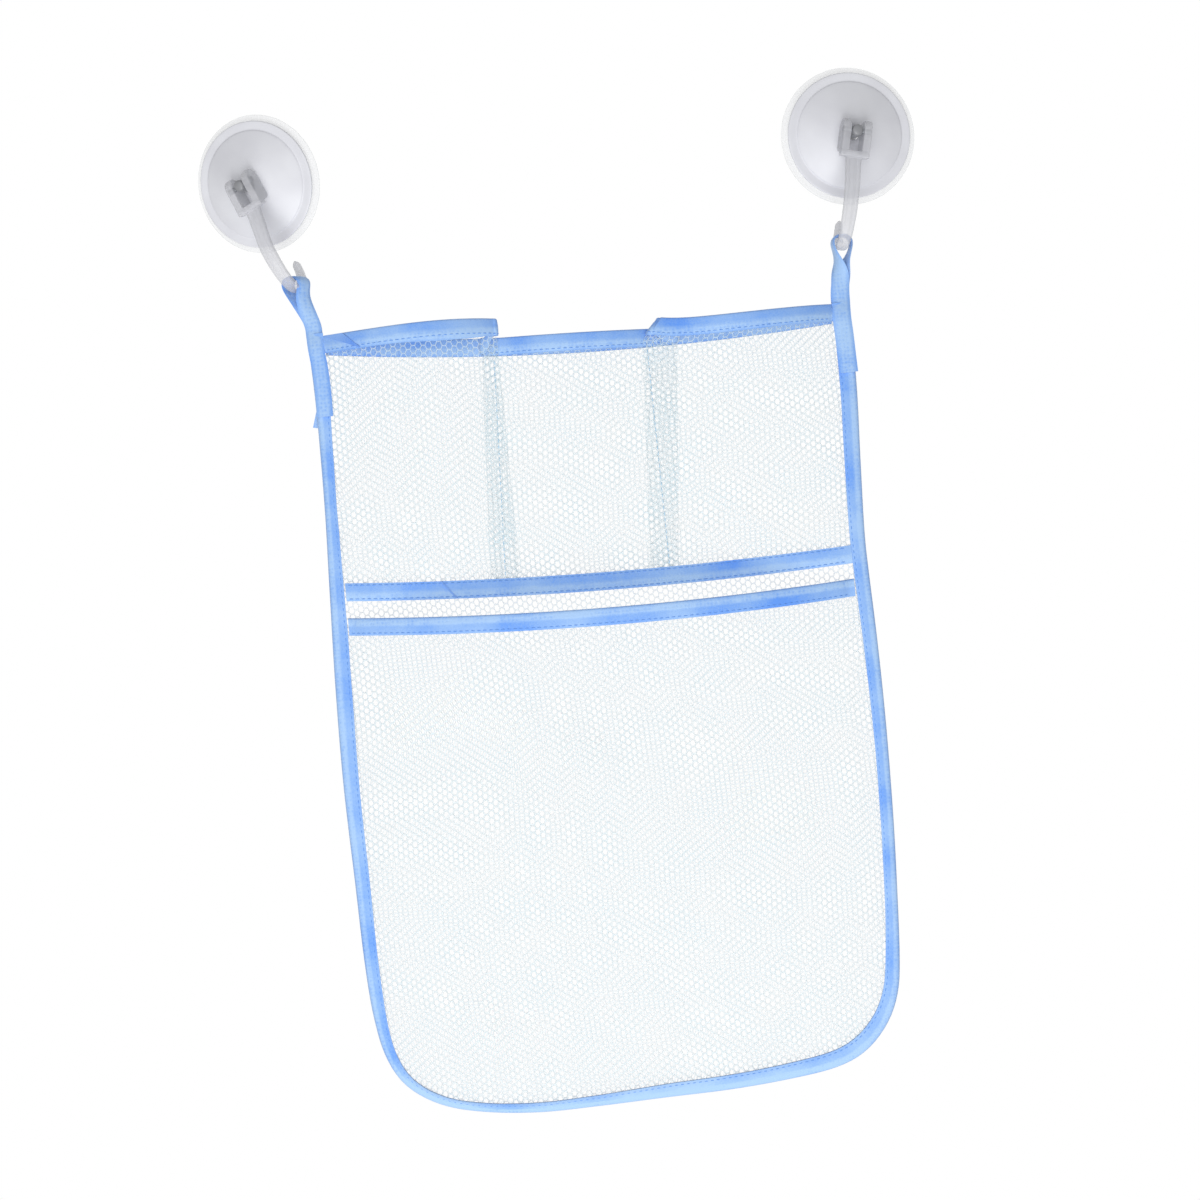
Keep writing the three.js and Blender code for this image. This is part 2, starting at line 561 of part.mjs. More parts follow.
// Hook lever: two ears, the bar between their lower ends, the arm and its J.
function leverGeometry() {
  const earShape = new THREE.Shape();
  const back = CAM_SET + EAR_ROUND;
  const front = CAM_SET - EAR_ROUND;
  earShape.moveTo(front, -FORK_DROP);
  earShape.lineTo(back, -FORK_DROP + BAR_THICK);
  earShape.lineTo(back, 0);
  earShape.absarc(CAM_SET, 0, EAR_ROUND, 0, Math.PI, false);
  earShape.closePath();
  const standEar = new THREE.Matrix4().makeBasis(
    new THREE.Vector3(0, 1, 0), new THREE.Vector3(0, 0, 1), new THREE.Vector3(1, 0, 0),
  );
  const ear = (x) => toSolid(new THREE.ExtrudeGeometry(earShape, {
    depth: EAR_WIDTH, bevelEnabled: false, curveSegments: EAR_STEPS,
  }).applyMatrix4(standEar).translate(x, 0, 0));
  const forkHalf = FORK_SLOT / 2 + EAR_WIDTH;
  const barDepth = EAR_ROUND;
  const barY = front + BAR_INSET + barDepth / 2;
  const barZ = -FORK_DROP + BAR_INSET + BAR_THICK / 2;
  const bar = toSolid(box(2 * (forkHalf - BAR_INSET), barDepth, BAR_THICK, 0, barY, barZ));
  const at = (y, z) => new THREE.Vector2(y + PIN_SET, z - PIN_RISE);
  const top = at(-PIN_SET, PIN_RISE - FORK_DROP + BAR_THICK / 2);
  const bow = at(-BOW_SET, BOW_RISE);
  const seat = at(0, -ARM_THICK / 2);
  const tip = at(TIP_SET, TIP_RISE);
  const line = new THREE.CurvePath();
  line.add(new THREE.CubicBezierCurve(
    top, top.clone().lerp(bow, ARM_EASE), at(-BOW_SET, BOW_RISE * BOW_ABOVE), bow,
  ));
  line.add(new THREE.CubicBezierCurve(
    bow, at(-BOW_SET, BOW_RISE * BOW_BELOW), at(-BOW_SET * BEND_EASE, -ARM_THICK / 2), seat,
  ));
  line.add(new THREE.CubicBezierCurve(
    seat, at(TIP_SET * BEND_EASE, -ARM_THICK / 2), at(TIP_SET, TIP_RISE * TIP_EASE), tip,
  ));
  const frames = spread(0, 1, ARM_STEPS).map((share) => {
    const point = line.getPointAt(share);
    const along = line.getTangentAt(share);
    return {
      p: new THREE.Vector3(0, point.x, point.y),
      u: new THREE.Vector3(1, 0, 0),
      v: new THREE.Vector3(0, -along.y, along.x),
    };
  });
  const arm = toSolid(sweep((t) => {
    const width = THREE.MathUtils.lerp(ARM_TOP_WIDTH, TIP_WIDTH, t);
    return range(ARM_SIDES, (k) => {
      const turn = ((2 * k + 1) * Math.PI) / ARM_SIDES;
      return [(width / 2) * Math.cos(turn), (ARM_THICK / 2) * Math.sin(turn)];
    });
  }, frames));
  const whole = ear(FORK_SLOT / 2).add(ear(-forkHalf)).add(bar).add(arm).subtract(pinDrill(0));
  return toGeometry(whole);
}

// Height of the hollow behind the sealing ring
const cupHollow = (radius) => CUP_HOLLOW * (1 - shareOf(radius, 0, CUP_RING) ** CUP_POWER);

// Suction cup with its stem: a flat sealing ring, a hollow behind it and a stem drilled for the pin.
function cupGeometry() {
  const stemTop = PIN_HEIGHT + STEM_RADIUS;
  const profile = [
    ...spread(0, CUP_RING, CUP_STEPS).map((radius) => [radius, cupHollow(radius)]),
    [CUP_RADIUS, 0], [CUP_RADIUS, CUP_EDGE],
    ...spread(CUP_RING, STEM_RADIUS, CUP_STEPS).map((radius) => [radius, CUP_EDGE + cupHollow(radius)]),
    [STEM_RADIUS, stemTop - STEM_CHAMFER], [STEM_RADIUS - STEM_CHAMFER, stemTop], [0, stemTop],
  ].map(([radius, height]) => new THREE.Vector2(radius, height));
  return toGeometry(toSolid(new THREE.LatheGeometry(profile, ROUND_STEPS)).subtract(pinDrill(PIN_HEIGHT)));
}

// Cap: a flat flange, a small step, a domed cone and a flat hub with the stem's hole.
function capGeometry() {
  const under = CUP_EDGE + cupHollow(STEP_RADIUS) + GAP;
  const top = under + FLANGE_THICK;
  const stemHole = STEM_RADIUS + 2 * CLEAR;
  const dome = spread(STEP_RADIUS, HUB_RADIUS + HUB_EDGE, DOME_STEPS).map((radius) => {
    const share = shareOf(radius, HUB_RADIUS, STEP_RADIUS);
    return [radius, THREE.MathUtils.lerp(HUB_TOP, top + CAP_STEP, share ** DOME_POWER)];
  });
  const profile = [
    [stemHole, HUB_TOP - CAP_WALL], [HUB_RADIUS, HUB_TOP - CAP_WALL],
    [STEP_RADIUS - CAP_WALL, under + CAP_STEP], [STEP_RADIUS, under], [CAP_RADIUS, under],
    [CAP_RADIUS, top - CAP_CHAMFER], [CAP_RADIUS - CAP_CHAMFER, top], [STEP_RADIUS + STEP_RUN, top],
    ...dome, [HUB_RADIUS, HUB_TOP], [stemHole, HUB_TOP], [stemHole, HUB_TOP - CAP_WALL],
  ].map(([radius, height]) => new THREE.Vector2(radius, height));
  return new THREE.LatheGeometry(profile, ROUND_STEPS);
}

const lever = leverGeometry();
const cup = cupGeometry();
const cap = capGeometry();
const pinLength = FORK_SLOT + 2 * EAR_WIDTH;
const pin = new THREE.CylinderGeometry(PIN_RADIUS, PIN_RADIUS, pinLength, PIN_STEPS).rotateZ(Math.PI / 2);

for (const [name, { side, out, up, roll, twist, loopTurn }] of Object.entries(HOOKS)) {
  const hook = new THREE.Group();
  hook.matrixAutoUpdate = false;
  hook.matrix.makeRotationY(THREE.MathUtils.degToRad(roll))
    .multiply(new THREE.Matrix4().makeRotationZ(THREE.MathUtils.degToRad(twist)))
    .setPosition(side * (HALF + out), 0, up);
  object.add(hook);
  for (const mesh of [
    place(hook, `${name}_hook_lever`, lever, WHITE_PLASTIC),
    place(hook, `${name}_pivot_pin`, pin, PIN_STEEL),
  ]) {
    mesh.position.set(0, -PIN_SET, PIN_RISE);
  }
  for (const mesh of [
    place(hook, `${name}_suction_cup`, cup, CLEAR_PLASTIC),
    place(hook, `${name}_cap`, cap, WHITE_PLASTIC),
  ]) {
    mesh.rotation.x = Math.PI;
    mesh.position.set(0, WALL_SET, PIN_RISE);
  }
  place(object, `${name}_loop`, loopGeometry(side, out, up, loopTurn), TAPE_BLUE);
  const tail = name === 'left' ? LEFT_TAIL : RIGHT_TAIL;
  place(object, `${name}_loop_tail`, box(
    TAPE_WIDTH, FLAT_TAPE, tail,
    side * (HALF - TAPE_WIDTH / 2), -EDGE_HALF - GAP - FLAT_TAPE / 2, topEdge(side * HALF) - tail / 2,
  ), TAPE_BLUE);
}

export default object;
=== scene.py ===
import math

import bpy
import numpy as np
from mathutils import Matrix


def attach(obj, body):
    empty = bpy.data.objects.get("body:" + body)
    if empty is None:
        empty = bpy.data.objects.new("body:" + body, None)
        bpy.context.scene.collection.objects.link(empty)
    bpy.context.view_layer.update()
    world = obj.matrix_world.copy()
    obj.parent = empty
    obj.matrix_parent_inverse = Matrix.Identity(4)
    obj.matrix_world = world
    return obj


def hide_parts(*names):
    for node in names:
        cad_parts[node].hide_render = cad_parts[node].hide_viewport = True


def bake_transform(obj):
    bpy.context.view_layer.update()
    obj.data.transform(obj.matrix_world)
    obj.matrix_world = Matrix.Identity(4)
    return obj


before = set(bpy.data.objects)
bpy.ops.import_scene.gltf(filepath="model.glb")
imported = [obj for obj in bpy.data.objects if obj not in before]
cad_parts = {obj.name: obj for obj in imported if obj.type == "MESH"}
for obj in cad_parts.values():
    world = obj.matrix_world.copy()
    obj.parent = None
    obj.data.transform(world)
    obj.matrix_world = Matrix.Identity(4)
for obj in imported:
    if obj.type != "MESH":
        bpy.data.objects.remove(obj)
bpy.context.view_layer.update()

# Back net
# The flat back of the bag is knitted polyester net with six-sided holes, cut with round lower
# corners. It is worked out in millimetres, as two pieces that meet behind the pockets' base tape.
HALF_WIDTH = 136.0
BACK_Y = 1.075  # distance of the back net behind the bag's middle plane
NET_THICK = 0.25
NET_INSET = 1.3  # edge of a net in from the outside of its tape
KNIT_STEP = 0.2  # step by which a knit's surface is felt for its facing
HOLE_SHARE = 0.2  # how far a hole's corner lies from the knot towards the hole's middle
KNOT_POINTS = 5  # points of a knot: its front, its back and a corner of each of three holes
BACK_PITCH = (2.44, 3.66)  # spacing of the columns of holes, and of the holes in a column
BACK_TURN = (3.2, 1.5)  # degrees that the knit lies askew, and how far it drifts
KNIT_MIDDLE = -220.0  # height about which a knit is turned
DRIFTS = ((83, 29, 7), (25, -71, 3))  # run across, run down and shift of the drifts along X and Z
RIPPLES = ((23, 61, 1.0), (-47, 37, 2.1), (31, 31, 3.7))  # the same of each slow wave
BACK_SLACK, BACK_SEED = 0.6, 0.4  # depth of the back's waves, and where they start
CALM_HALF, CALM_FOOT, CALM_RUN = 130.0, -418.0, 40.0  # where those waves end, and their run up
FLAT_LOW, FLAT_HIGH = (-165, -445), (165, -5)  # flat cut that takes in the whole bag
BACK_SEAM = 4.5  # where the two pieces meet, below the upper edge of the base tape
SPAN_STEPS = 24  # points worked out between two knots of a line
RIM_KNOTS = np.array([
    (-135.2, -24.6), (-133.7, -60), (-133.6, -110), (-134.6, -150), (-135.8, -200),
    (-135.9, -250), (-134.2, -300), (-132.9, -338), (-130.6, -366), (-126, -387),
    (-117, -402), (-101, -412.5), (-80, -418), (-52, -420.6), (-22, -420), (10, -418.6),
    (45, -417.2), (75, -414.4), (98, -410.5), (113, -403.5), (124.5, -391), (131, -376),
    (133.5, -357), (135.2, -320), (136.2, -285), (136.4, -240), (135.6, -200), (134.2, -165),
    (133.8, -145), (134.8, -110), (136, -75), (135.8, -45), (135.2, -30.6),
])


def across_bag(drop, tilt, sag):
    """Height of a line across the bag: a drop, a straight tilt and a parabolic sag."""
    return lambda x: -drop - tilt * x / HALF_WIDTH - sag * (1 - (x / HALF_WIDTH) ** 2)


top_edge = across_bag(28.0, 3.0, 7.5)
base_edge = across_bag(150.0, 1.2, 4.8)
mouth_edge = across_bag(167.0, 0.8, 5.4)


def line_length(line):
    """Length along a line up to each of its points."""
    return np.concatenate([[0], np.cumsum(np.linalg.norm(np.diff(line, axis=0), axis=1))])


def at_length(values, along, at):
    """Values that are given at lengths along a line, read at other lengths."""
    return np.stack([np.interp(at, along, column) for column in values.T], axis=-1)


def evenly(line, count):
    """The same line with its points spread evenly by length."""
    along = line_length(line)
    return at_length(line, along, np.linspace(0, along[-1], count))


def smooth_line(knots, count):
    """Catmull-Rom curve: cubic spans whose end slopes are half the step between neighbours."""
    knots = np.asarray(knots, float)
    ends = np.vstack([2 * knots[0] - knots[1], knots, 2 * knots[-1] - knots[-2]])
    t = np.linspace(0, len(knots) - 1, SPAN_STEPS * len(knots))
    k = np.minimum(t.astype(int), len(knots) - 2)
    f = (t - k)[:, None]
    a, b, c, d = (ends[k + i] for i in range(4))
    line = b + 0.5 * f * (c - a + f * (2 * a - 5 * b + 4 * c - d + f * (3 * (b - c) + d - a)))
    return evenly(line, count)


def smooth_step(value, low=0.0, high=1.0):
    """0 below low and 1 above high, with the cubic 3s^2 - 2s^3 between them."""
    s = np.clip((value - low) / (high - low), 0, 1)
    return s * s * (3 - 2 * s)


def unit(vectors):
    """The same vectors at a length of 1."""
    return vectors / np.maximum(np.linalg.norm(vectors, axis=-1, keepdims=True), 1e-9)


def inward(line):
    """Unit vectors to the left of a flat line's run, which is the inside of the bag's rim."""
    run = unit(np.gradient(line, axis=0))
    return np.stack([-run[:, 1], run[:, 0]], axis=1)


def within(x, z, loop):
    """Even-odd test: whether a ray along +x from each point crosses the loop an odd number of times."""
    a, b = loop, np.roll(loop, -1, axis=0)
    low, high = np.minimum(a[:, 1], b[:, 1]), np.maximum(a[:, 1], b[:, 1])
    climb = b[:, 1] - a[:, 1]
    slope = (b[:, 0] - a[:, 0]) / np.where(np.abs(climb) < 1e-9, 1e-9, climb)
    x, z = x.ravel()[:, None], z.ravel()[:, None]
    crossed = (z >= low) & (z < high) & (x < a[:, 0] + (z - a[:, 1]) * slope)
    return crossed.sum(axis=1) % 2 == 1


def lay_mesh(name, points, quads, tris=(), uv=None):
    """Puts points in millimetres and their faces into a smooth mesh in metres, as one object."""
    quads = np.asarray(quads, np.int64).reshape(-1, 4)
    tris = np.asarray(tris, np.int64).reshape(-1, 3)
    loops = np.concatenate([quads.ravel(), tris.ravel()]).astype(np.int32)
    sizes = np.concatenate([np.full(len(quads), 4), np.full(len(tris), 3)])
    mesh = bpy.data.meshes.new(name)
    mesh.vertices.add(len(points))
    mesh.vertices.foreach_set("co", (np.asarray(points) * 0.001).astype(np.float32).ravel())
    mesh.loops.add(len(loops))
    mesh.loops.foreach_set("vertex_index", loops)
    mesh.polygons.add(len(sizes))
    mesh.polygons.foreach_set("loop_start", (np.cumsum(sizes) - sizes).astype(np.int32))
    mesh.polygons.foreach_set("use_smooth", np.ones(len(sizes), bool))
    if uv is not None:
        layer = mesh.uv_layers.new(name="cloth")
        layer.data.foreach_set("uv", np.asarray(uv, np.float32)[loops].ravel())
    mesh.update(calc_edges=True)
    mesh.validate()
    piece = bpy.data.objects.new(name, mesh)
    bpy.context.scene.collection.objects.link(piece)
    return piece


def facing(shape, s, t, ds, dt):
    """Unit vectors off a surface, from the cross product of its steps along its two parameters."""
    return unit(np.cross(shape(s + ds, t) - shape(s - ds, t), shape(s, t + dt) - shape(s, t - dt)))


def knit_net(name, pitch, low, high, cut, kept, shape, part=None):
    """Net of six-sided holes in offset columns on a flat cut, carried onto a surface.

    Each knot has a front and a back point half the thickness off the surface, and three hole
    corners part of the way to the middles of the holes round it. A strand between two knots has
    four faces, from its front and back ridges to the holes on its two sides. Where a knot has no
    strand on one of its three sides, a face closes it.
    """
    def laid(u, w):
        """The surface's points by their flat cut coordinates."""
        return shape(*cut(u, w))

    column, line = pitch
    reach = 2 * column / 3
    columns = np.arange(math.floor(low[0] / column) - 2, math.ceil(high[0] / column) + 4)
    rows = np.arange(math.floor(low[1] / line) - 2, math.ceil(high[1] / line) + 3)
    i, j = np.meshgrid(columns, rows, indexing="ij")
    middle = np.stack([i * column, (j + (i % 2) / 2) * line], axis=-1).reshape(-1, 2)
    flat = []
    for side in (1, -1):
        knot = middle + [side * reach, 0]
        round_it = [middle + step for step in (
            (0, 0), (side * column, line / 2), (side * column, -line / 2))]
        corners = [knot + HOLE_SHARE * (hole - knot) for hole in round_it]
        flat.append(np.stack([knot, knot, *corners], axis=1))
    flat = np.concatenate(flat)
    count = len(middle)
    keep = kept(*cut(flat[:, 0, 0], flat[:, 0, 1]))
    inner_i, inner_j = np.meshgrid(
        np.arange(len(columns) - 2), np.arange(1, len(rows) - 1), indexing="ij")
    odd = (columns[inner_i] % 2).astype(int)
    first = (inner_i * len(rows) + inner_j).ravel()
    others = [
        (inner_i + 2) * len(rows) + inner_j,
        (inner_i + 1) * len(rows) + inner_j + odd,
        (inner_i + 1) * len(rows) + inner_j + odd - 1,
    ]
    sides = (((3, 4), (3, 4)), ((2, 3), (4, 2)), ((4, 2), (2, 3)))
    held = np.zeros((3, 2 * count), bool)
    quads = []
    for kind, (other, ((la, ra), (lb, rb))) in enumerate(zip(others, sides)):
        a, b = first, other.ravel() + count
        there = keep[a] & keep[b]
        if part is not None:
            there &= part(*cut(*((flat[a, 0] + flat[b, 0]) / 2).T))
        a, b = a[there], b[there]
        held[kind, a] = True
        held[kind, b] = True
        a, b = KNOT_POINTS * a, KNOT_POINTS * b
        quads += [
            np.stack([a, b, b + lb, a + la], axis=1),
            np.stack([b, a, a + ra, b + rb], axis=1),
            np.stack([b + 1, a + 1, a + la, b + lb], axis=1),
            np.stack([a + 1, b + 1, b + rb, a + ra], axis=1),
        ]
    used = held.any(axis=0)
    for kind, ((la, ra), (lb, rb)) in enumerate(sides):
        bare = np.flatnonzero(used & ~held[kind])
        a, b = KNOT_POINTS * bare[bare < count], KNOT_POINTS * bare[bare >= count]
        quads.append(np.stack([a + la, a, a + ra, a + 1], axis=1))
        quads.append(np.stack([b + lb, b + 1, b + rb, b], axis=1))
    number = np.cumsum(np.repeat(used, KNOT_POINTS)) - 1
    u, w = flat[used, :, 0], flat[used, :, 1]
    points = laid(u, w)
    out = NET_THICK / 2 * facing(laid, u[:, 0], w[:, 0], KNIT_STEP, KNIT_STEP)
    points[:, 0] += out
    points[:, 1] -= out
    return lay_mesh(name, points.reshape(-1, 3), number[np.concatenate(quads)])


def wave(x, z, across, down, shift=0.0):
    """A sine that slants over the cloth, by its runs across and down and its shift."""
    return np.sin(x / across + z / down + shift)


def ripple(x, z, seed):
    """Slow uneven waves between -1 and 1, the mean of three slanting sines."""
    return sum(wave(x, z, across, down, shift * seed) for across, down, shift in RIPPLES) / len(RIPPLES)


def rotate(u, w, degrees):
    """Flat points turned about the origin."""
    c, s = math.cos(math.radians(degrees)), math.sin(math.radians(degrees))
    return c * u - s * w, s * u + c * w


def askew(degrees, drift):
    """How a flat cut lies on the bag: turned about its middle, with slow drifts as the knit is pulled."""
    def lay(u, w):
        """Flat cut coordinates to the place across the bag and the height."""
        x, z = rotate(u, w - KNIT_MIDDLE, degrees)
        z = z + KNIT_MIDDLE
        aside, along = (drift * wave(x, z, a, b, shift * degrees) for a, b, shift in DRIFTS)
        return x + aside, z + along
    return lay


rim = smooth_line(RIM_KNOTS, 260)
rim_in = inward(rim)
rim_loop = rim + NET_INSET * rim_in
top_x = np.linspace(HALF_WIDTH, -HALF_WIDTH, 80)[1:-1]
back_loop = np.vstack([rim_loop, np.stack([top_x, top_edge(top_x) - NET_INSET], axis=1)])


def back_shape(x, z):
    """The back net: nearly flat, with slow waves towards the wall that die away at its tapes."""
    room = np.minimum(CALM_HALF - np.abs(x), np.minimum(top_edge(x) - z, z - CALM_FOOT))
    waves = BACK_SLACK * smooth_step(room, 0, CALM_RUN) * (1 + ripple(x, z, BACK_SEED))
    return np.stack([x, BACK_Y + waves, z], axis=-1)


def back_kept(x, z):
    """Whether a point lies inside the back's outline."""
    return within(x, z, back_loop)


def above_base(x, z):
    """Whether a point lies above the seam behind the base tape."""
    return z > base_edge(x) - BACK_SEAM


def below_base(x, z):
    """Whether a point lies below that seam."""
    return ~above_base(x, z)


def wire(node, **values):
    """Sends outputs or values to a node's inputs, named with _ for a space or as i and a number."""
    for key, value in values.items():
        socket = node.inputs[int(key[1:]) if key[1:].isdigit() else key.replace("_", " ")]
        if isinstance(value, bpy.types.NodeSocket):
            node.id_data.links.new(value, socket)
        else:
            socket.default_value = value


def add_node(tree, kind, settings=(), **values):
    """One shader node, with its settings and what goes to its inputs."""
    made = tree.nodes.new(kind)
    for key, value in dict(settings).items():
        setattr(made, key, value)
    wire(made, **values)
    return made


def new_finish(name):
    """An empty material: its tree, its shader, and the place that its patterns read."""
    material = bpy.data.materials.new(name)
    material.use_nodes = True
    tree = material.node_tree
    place = add_node(tree, "ShaderNodeTexCoord").outputs["Object"]
    return material, tree, tree.nodes["Principled BSDF"], place


def noise(tree, at, scale, detail=2.0):
    """Cloudy noise at a place, with about as many clouds in a metre as its scale."""
    return add_node(tree, "ShaderNodeTexNoise", Vector=at, Scale=scale, Detail=detail).outputs["Fac"]


def maths(tree, operation, *values):
    """One step of arithmetic on outputs and numbers."""
    inputs = {f"i{k}": value for k, value in enumerate(values)}
    return add_node(tree, "ShaderNodeMath", {"operation": operation}, **inputs).outputs[0]


def to_range(tree, value, old, new=(0.0, 1.0), kind="LINEAR"):
    """A value carried from one range to another and held at the ends."""
    made = add_node(tree, "ShaderNodeMapRange", {"interpolation_type": kind},
                    i0=value, i1=old[0], i2=old[1], i3=new[0], i4=new[1])
    return made.outputs[0]


def linear(*srgb):
    """A colour as seen on screen, turned into the light values that a shader takes."""
    values = [c / 12.92 if c <= 0.04045 else ((c + 0.055) / 1.055) ** 2.4 for c in srgb]
    return (*values, 1.0)


def shades(tree, value, *stops):
    """Colours over a value, each stop a position and a colour as seen on screen."""
    ramp = add_node(tree, "ShaderNodeValToRGB", i0=value)
    points = ramp.color_ramp.elements
    for point, (position, colour) in ((points[0], stops[0]), (points[1], stops[-1])):
        point.position = position
        point.color = linear(*colour)
    for position, colour in stops[1:-1]:
        points.new(position).color = linear(*colour)
    return ramp.outputs["Color"]


def relief(tree, height, strength, depth):
    """Bump from a height, by its strength and its depth in metres."""
    made = add_node(tree, "ShaderNodeBump", Height=height, Strength=strength, Distance=depth)
    return made.outputs["Normal"]


net_yarn, tree, shader, place = new_finish("net_yarn")
yarns = noise(tree, place, scale=2600.0, detail=3.0)
tone = maths(tree, "MULTIPLY_ADD", yarns, 0.5, noise(tree, place, scale=55.0))
wire(
    shader, Roughness=0.6,
    Alpha=0.28,  # fine yarn lets light through
    Base_Color=shades(tree, tone, (0.45, (0.88, 0.965, 0.998)), (1.0, (0.955, 0.988, 1.0))),
    Normal=relief(tree, yarns, strength=0.35, depth=0.0001))


def fix(piece, body, slot, finish, *nodes):
    """Gives a piece its finish and its body, and hides the solids that it stands for. Its slot is not used.
    """
    piece.data.materials.append(finish)
    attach(piece, body)
    if nodes:
        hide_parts(*nodes)


CUT_WIDTH, UPPER_CUT, LOWER_CUT = 0.27, 0.128, 0.262  # metres


def sew_net(piece, flat, held, rests_on, *nodes):
    """Fixes a net to the bag with the net finish, and hides the solids that it stands for. Its flat cut's
    size, how it is held and what it rests on are not used.
    """
    fix(piece, "bag", "net", net_yarn, *nodes)


for name, part, length, nodes in (
        ("back_net_upper", above_base, UPPER_CUT, ["back_net"]),
        ("back_net_lower", below_base, LOWER_CUT, [])):
    piece = knit_net(
        name, BACK_PITCH, FLAT_LOW, FLAT_HIGH, askew(*BACK_TURN), back_kept, back_shape, part)
    sew_net(piece, (CUT_WIDTH, length), "stretched", ["edge_binding"], *nodes)

# Upper pocket strip
# A wider strip of the same net in front of the back. At each divider it is folded in a Z and
# sewn to the back, so the net lies three deep there, and each pocket's mouth hangs a little open.
FRONT_Y = -1.075  # front nets before the bag's middle plane
TAPE_WIDTH = 9.0
SIDE_BULGE, MIDDLE_BULGE = 17.0, 9.0  # how far the pockets' mouths stand open
POCKETS = ((-127.0, 84.7), (-39.3, 73.2), (36.9, 90.1))  # left end and width of each pocket
STRIP_ENDS = (-134.5, 134.3)
STRIP_HEIGHT = 124.0
STRIP_FOOT = 4.0  # strip's lower edge below the upper edge of the base tape
STRIP_PITCH = (2.52, 3.52)
STRIP_TURN = -2.4
STRIP_DRIFT, LENGTH_RUNS, HEIGHT_RUN = 1.4, (60, 27), 24  # drift of the knit, and its runs
STRIP_WAVE, STRIP_SEED = 0.7, 1.7  # height of the net's waves, and where they start
STRIP_FULL = 0.5  # share of the bulge at which they are full
STRIP_MARGIN, NET_TOP = 1.0, 0.99  # ends left without net, and how far it reaches into the hem
CUT_LOW, CUT_HIGH = (-14, -22), (340, 150)  # flat cut that takes in the strip
# Nine stretches along the strip: panel, turn, tuck, turn, panel, turn, tuck, turn, panel
STRIP_BREAKS = np.cumsum([0, 94.5, 3, 10.5, 3, 94, 3, 12, 3, 103.5])
TURN_WAY = [0, 1, 0, -1, 0, 1, 0, -1, 0]  # way in which a turn bows out
LAYER_AT = [-2, -2, -1, -1, 0, 0, -1, -1, -2]  # layer in which a stretch starts
LAYER_STEP = [0, 1, 0, 1, 0, -1, 0, -1, 0]  # layers that a turn climbs
LEFT_PANEL, LEFT_TUCK, MIDDLE_PANEL, RIGHT_TUCK, RIGHT_PANEL = 0, 2, 4, 6, 8
PANEL_FLAT = 0.3  # share of a side panel, from the bag's edge, that lies in the front layer
# Places across the bag of the folds' edges, at the strip's foot and at its top
LEFT_OUT, LEFT_IN = (-39.5, -40.9), (-54.4, -48.6)
RIGHT_IN, RIGHT_OUT = (39.8, 49.0), (25.5, 32.0)
RIGHT_SPLAY, SPLAY_FROM = 8.0, 0.9  # how far the right fold's edge is turned aside at the top
FOLD_RADIUS, FOLD_GAPE = 0.38, 0.75  # radius of a turn, and how much it opens in the hem
GAPE_FROM, GAPE_TO = 0.82, 0.95
# The side panels' upper edges stand above the back's, most beside the dividers
LEFT_TOP, LEFT_LIFT, LEFT_CURVE, LEFT_FALL = -40.8, 9.2, 1.7, 1.5
RIGHT_TOP, RIGHT_LIFT, RIGHT_FALL, RIGHT_HOLD, RIGHT_CURVE = 38.0, 4.1, 0.12, 1.2, 6


def arch(share):
    """Parabola that is 0 at both ends and 1 halfway."""
    share = np.clip(share, 0, 1)
    return 4 * share * (1 - share)


def swell(share):
    """Rises from 0 to 1 with a slope that dies away at 1."""
    return 1 - (1 - np.clip(share, 0, 1)) ** 2


def blend_line(f, a, b):
    """The straight way from a to b at a share f."""
    return a + (b - a) * f


def strip_top(x, k, f):
    """Upper edge of the strip: the back's top edge, raised on the side panels beside the dividers.

    The left lift falls off as a power of a power of the way out, the right one exponentially to a
    low hold. Each fades over its tuck.
    """
    away = np.clip((x - LEFT_TOP) / (-HALF_WIDTH - LEFT_TOP), 0, 1)
    left = LEFT_LIFT * (1 - away ** LEFT_CURVE) ** LEFT_FALL
    away = np.clip((x - RIGHT_TOP) / (HALF_WIDTH - RIGHT_TOP), 0, 1)
    right = (RIGHT_LIFT * np.exp(-away / RIGHT_FALL) + RIGHT_HOLD) * (1 - away ** RIGHT_CURVE)
    left = np.where(k < LEFT_TUCK, left, np.where(k == LEFT_TUCK, left * (1 - smooth_step(f)), 0))
    right = np.where(k > RIGHT_TUCK, right, np.where(k == RIGHT_TUCK, right * smooth_step(f), 0))
    return top_edge(x) + left + right


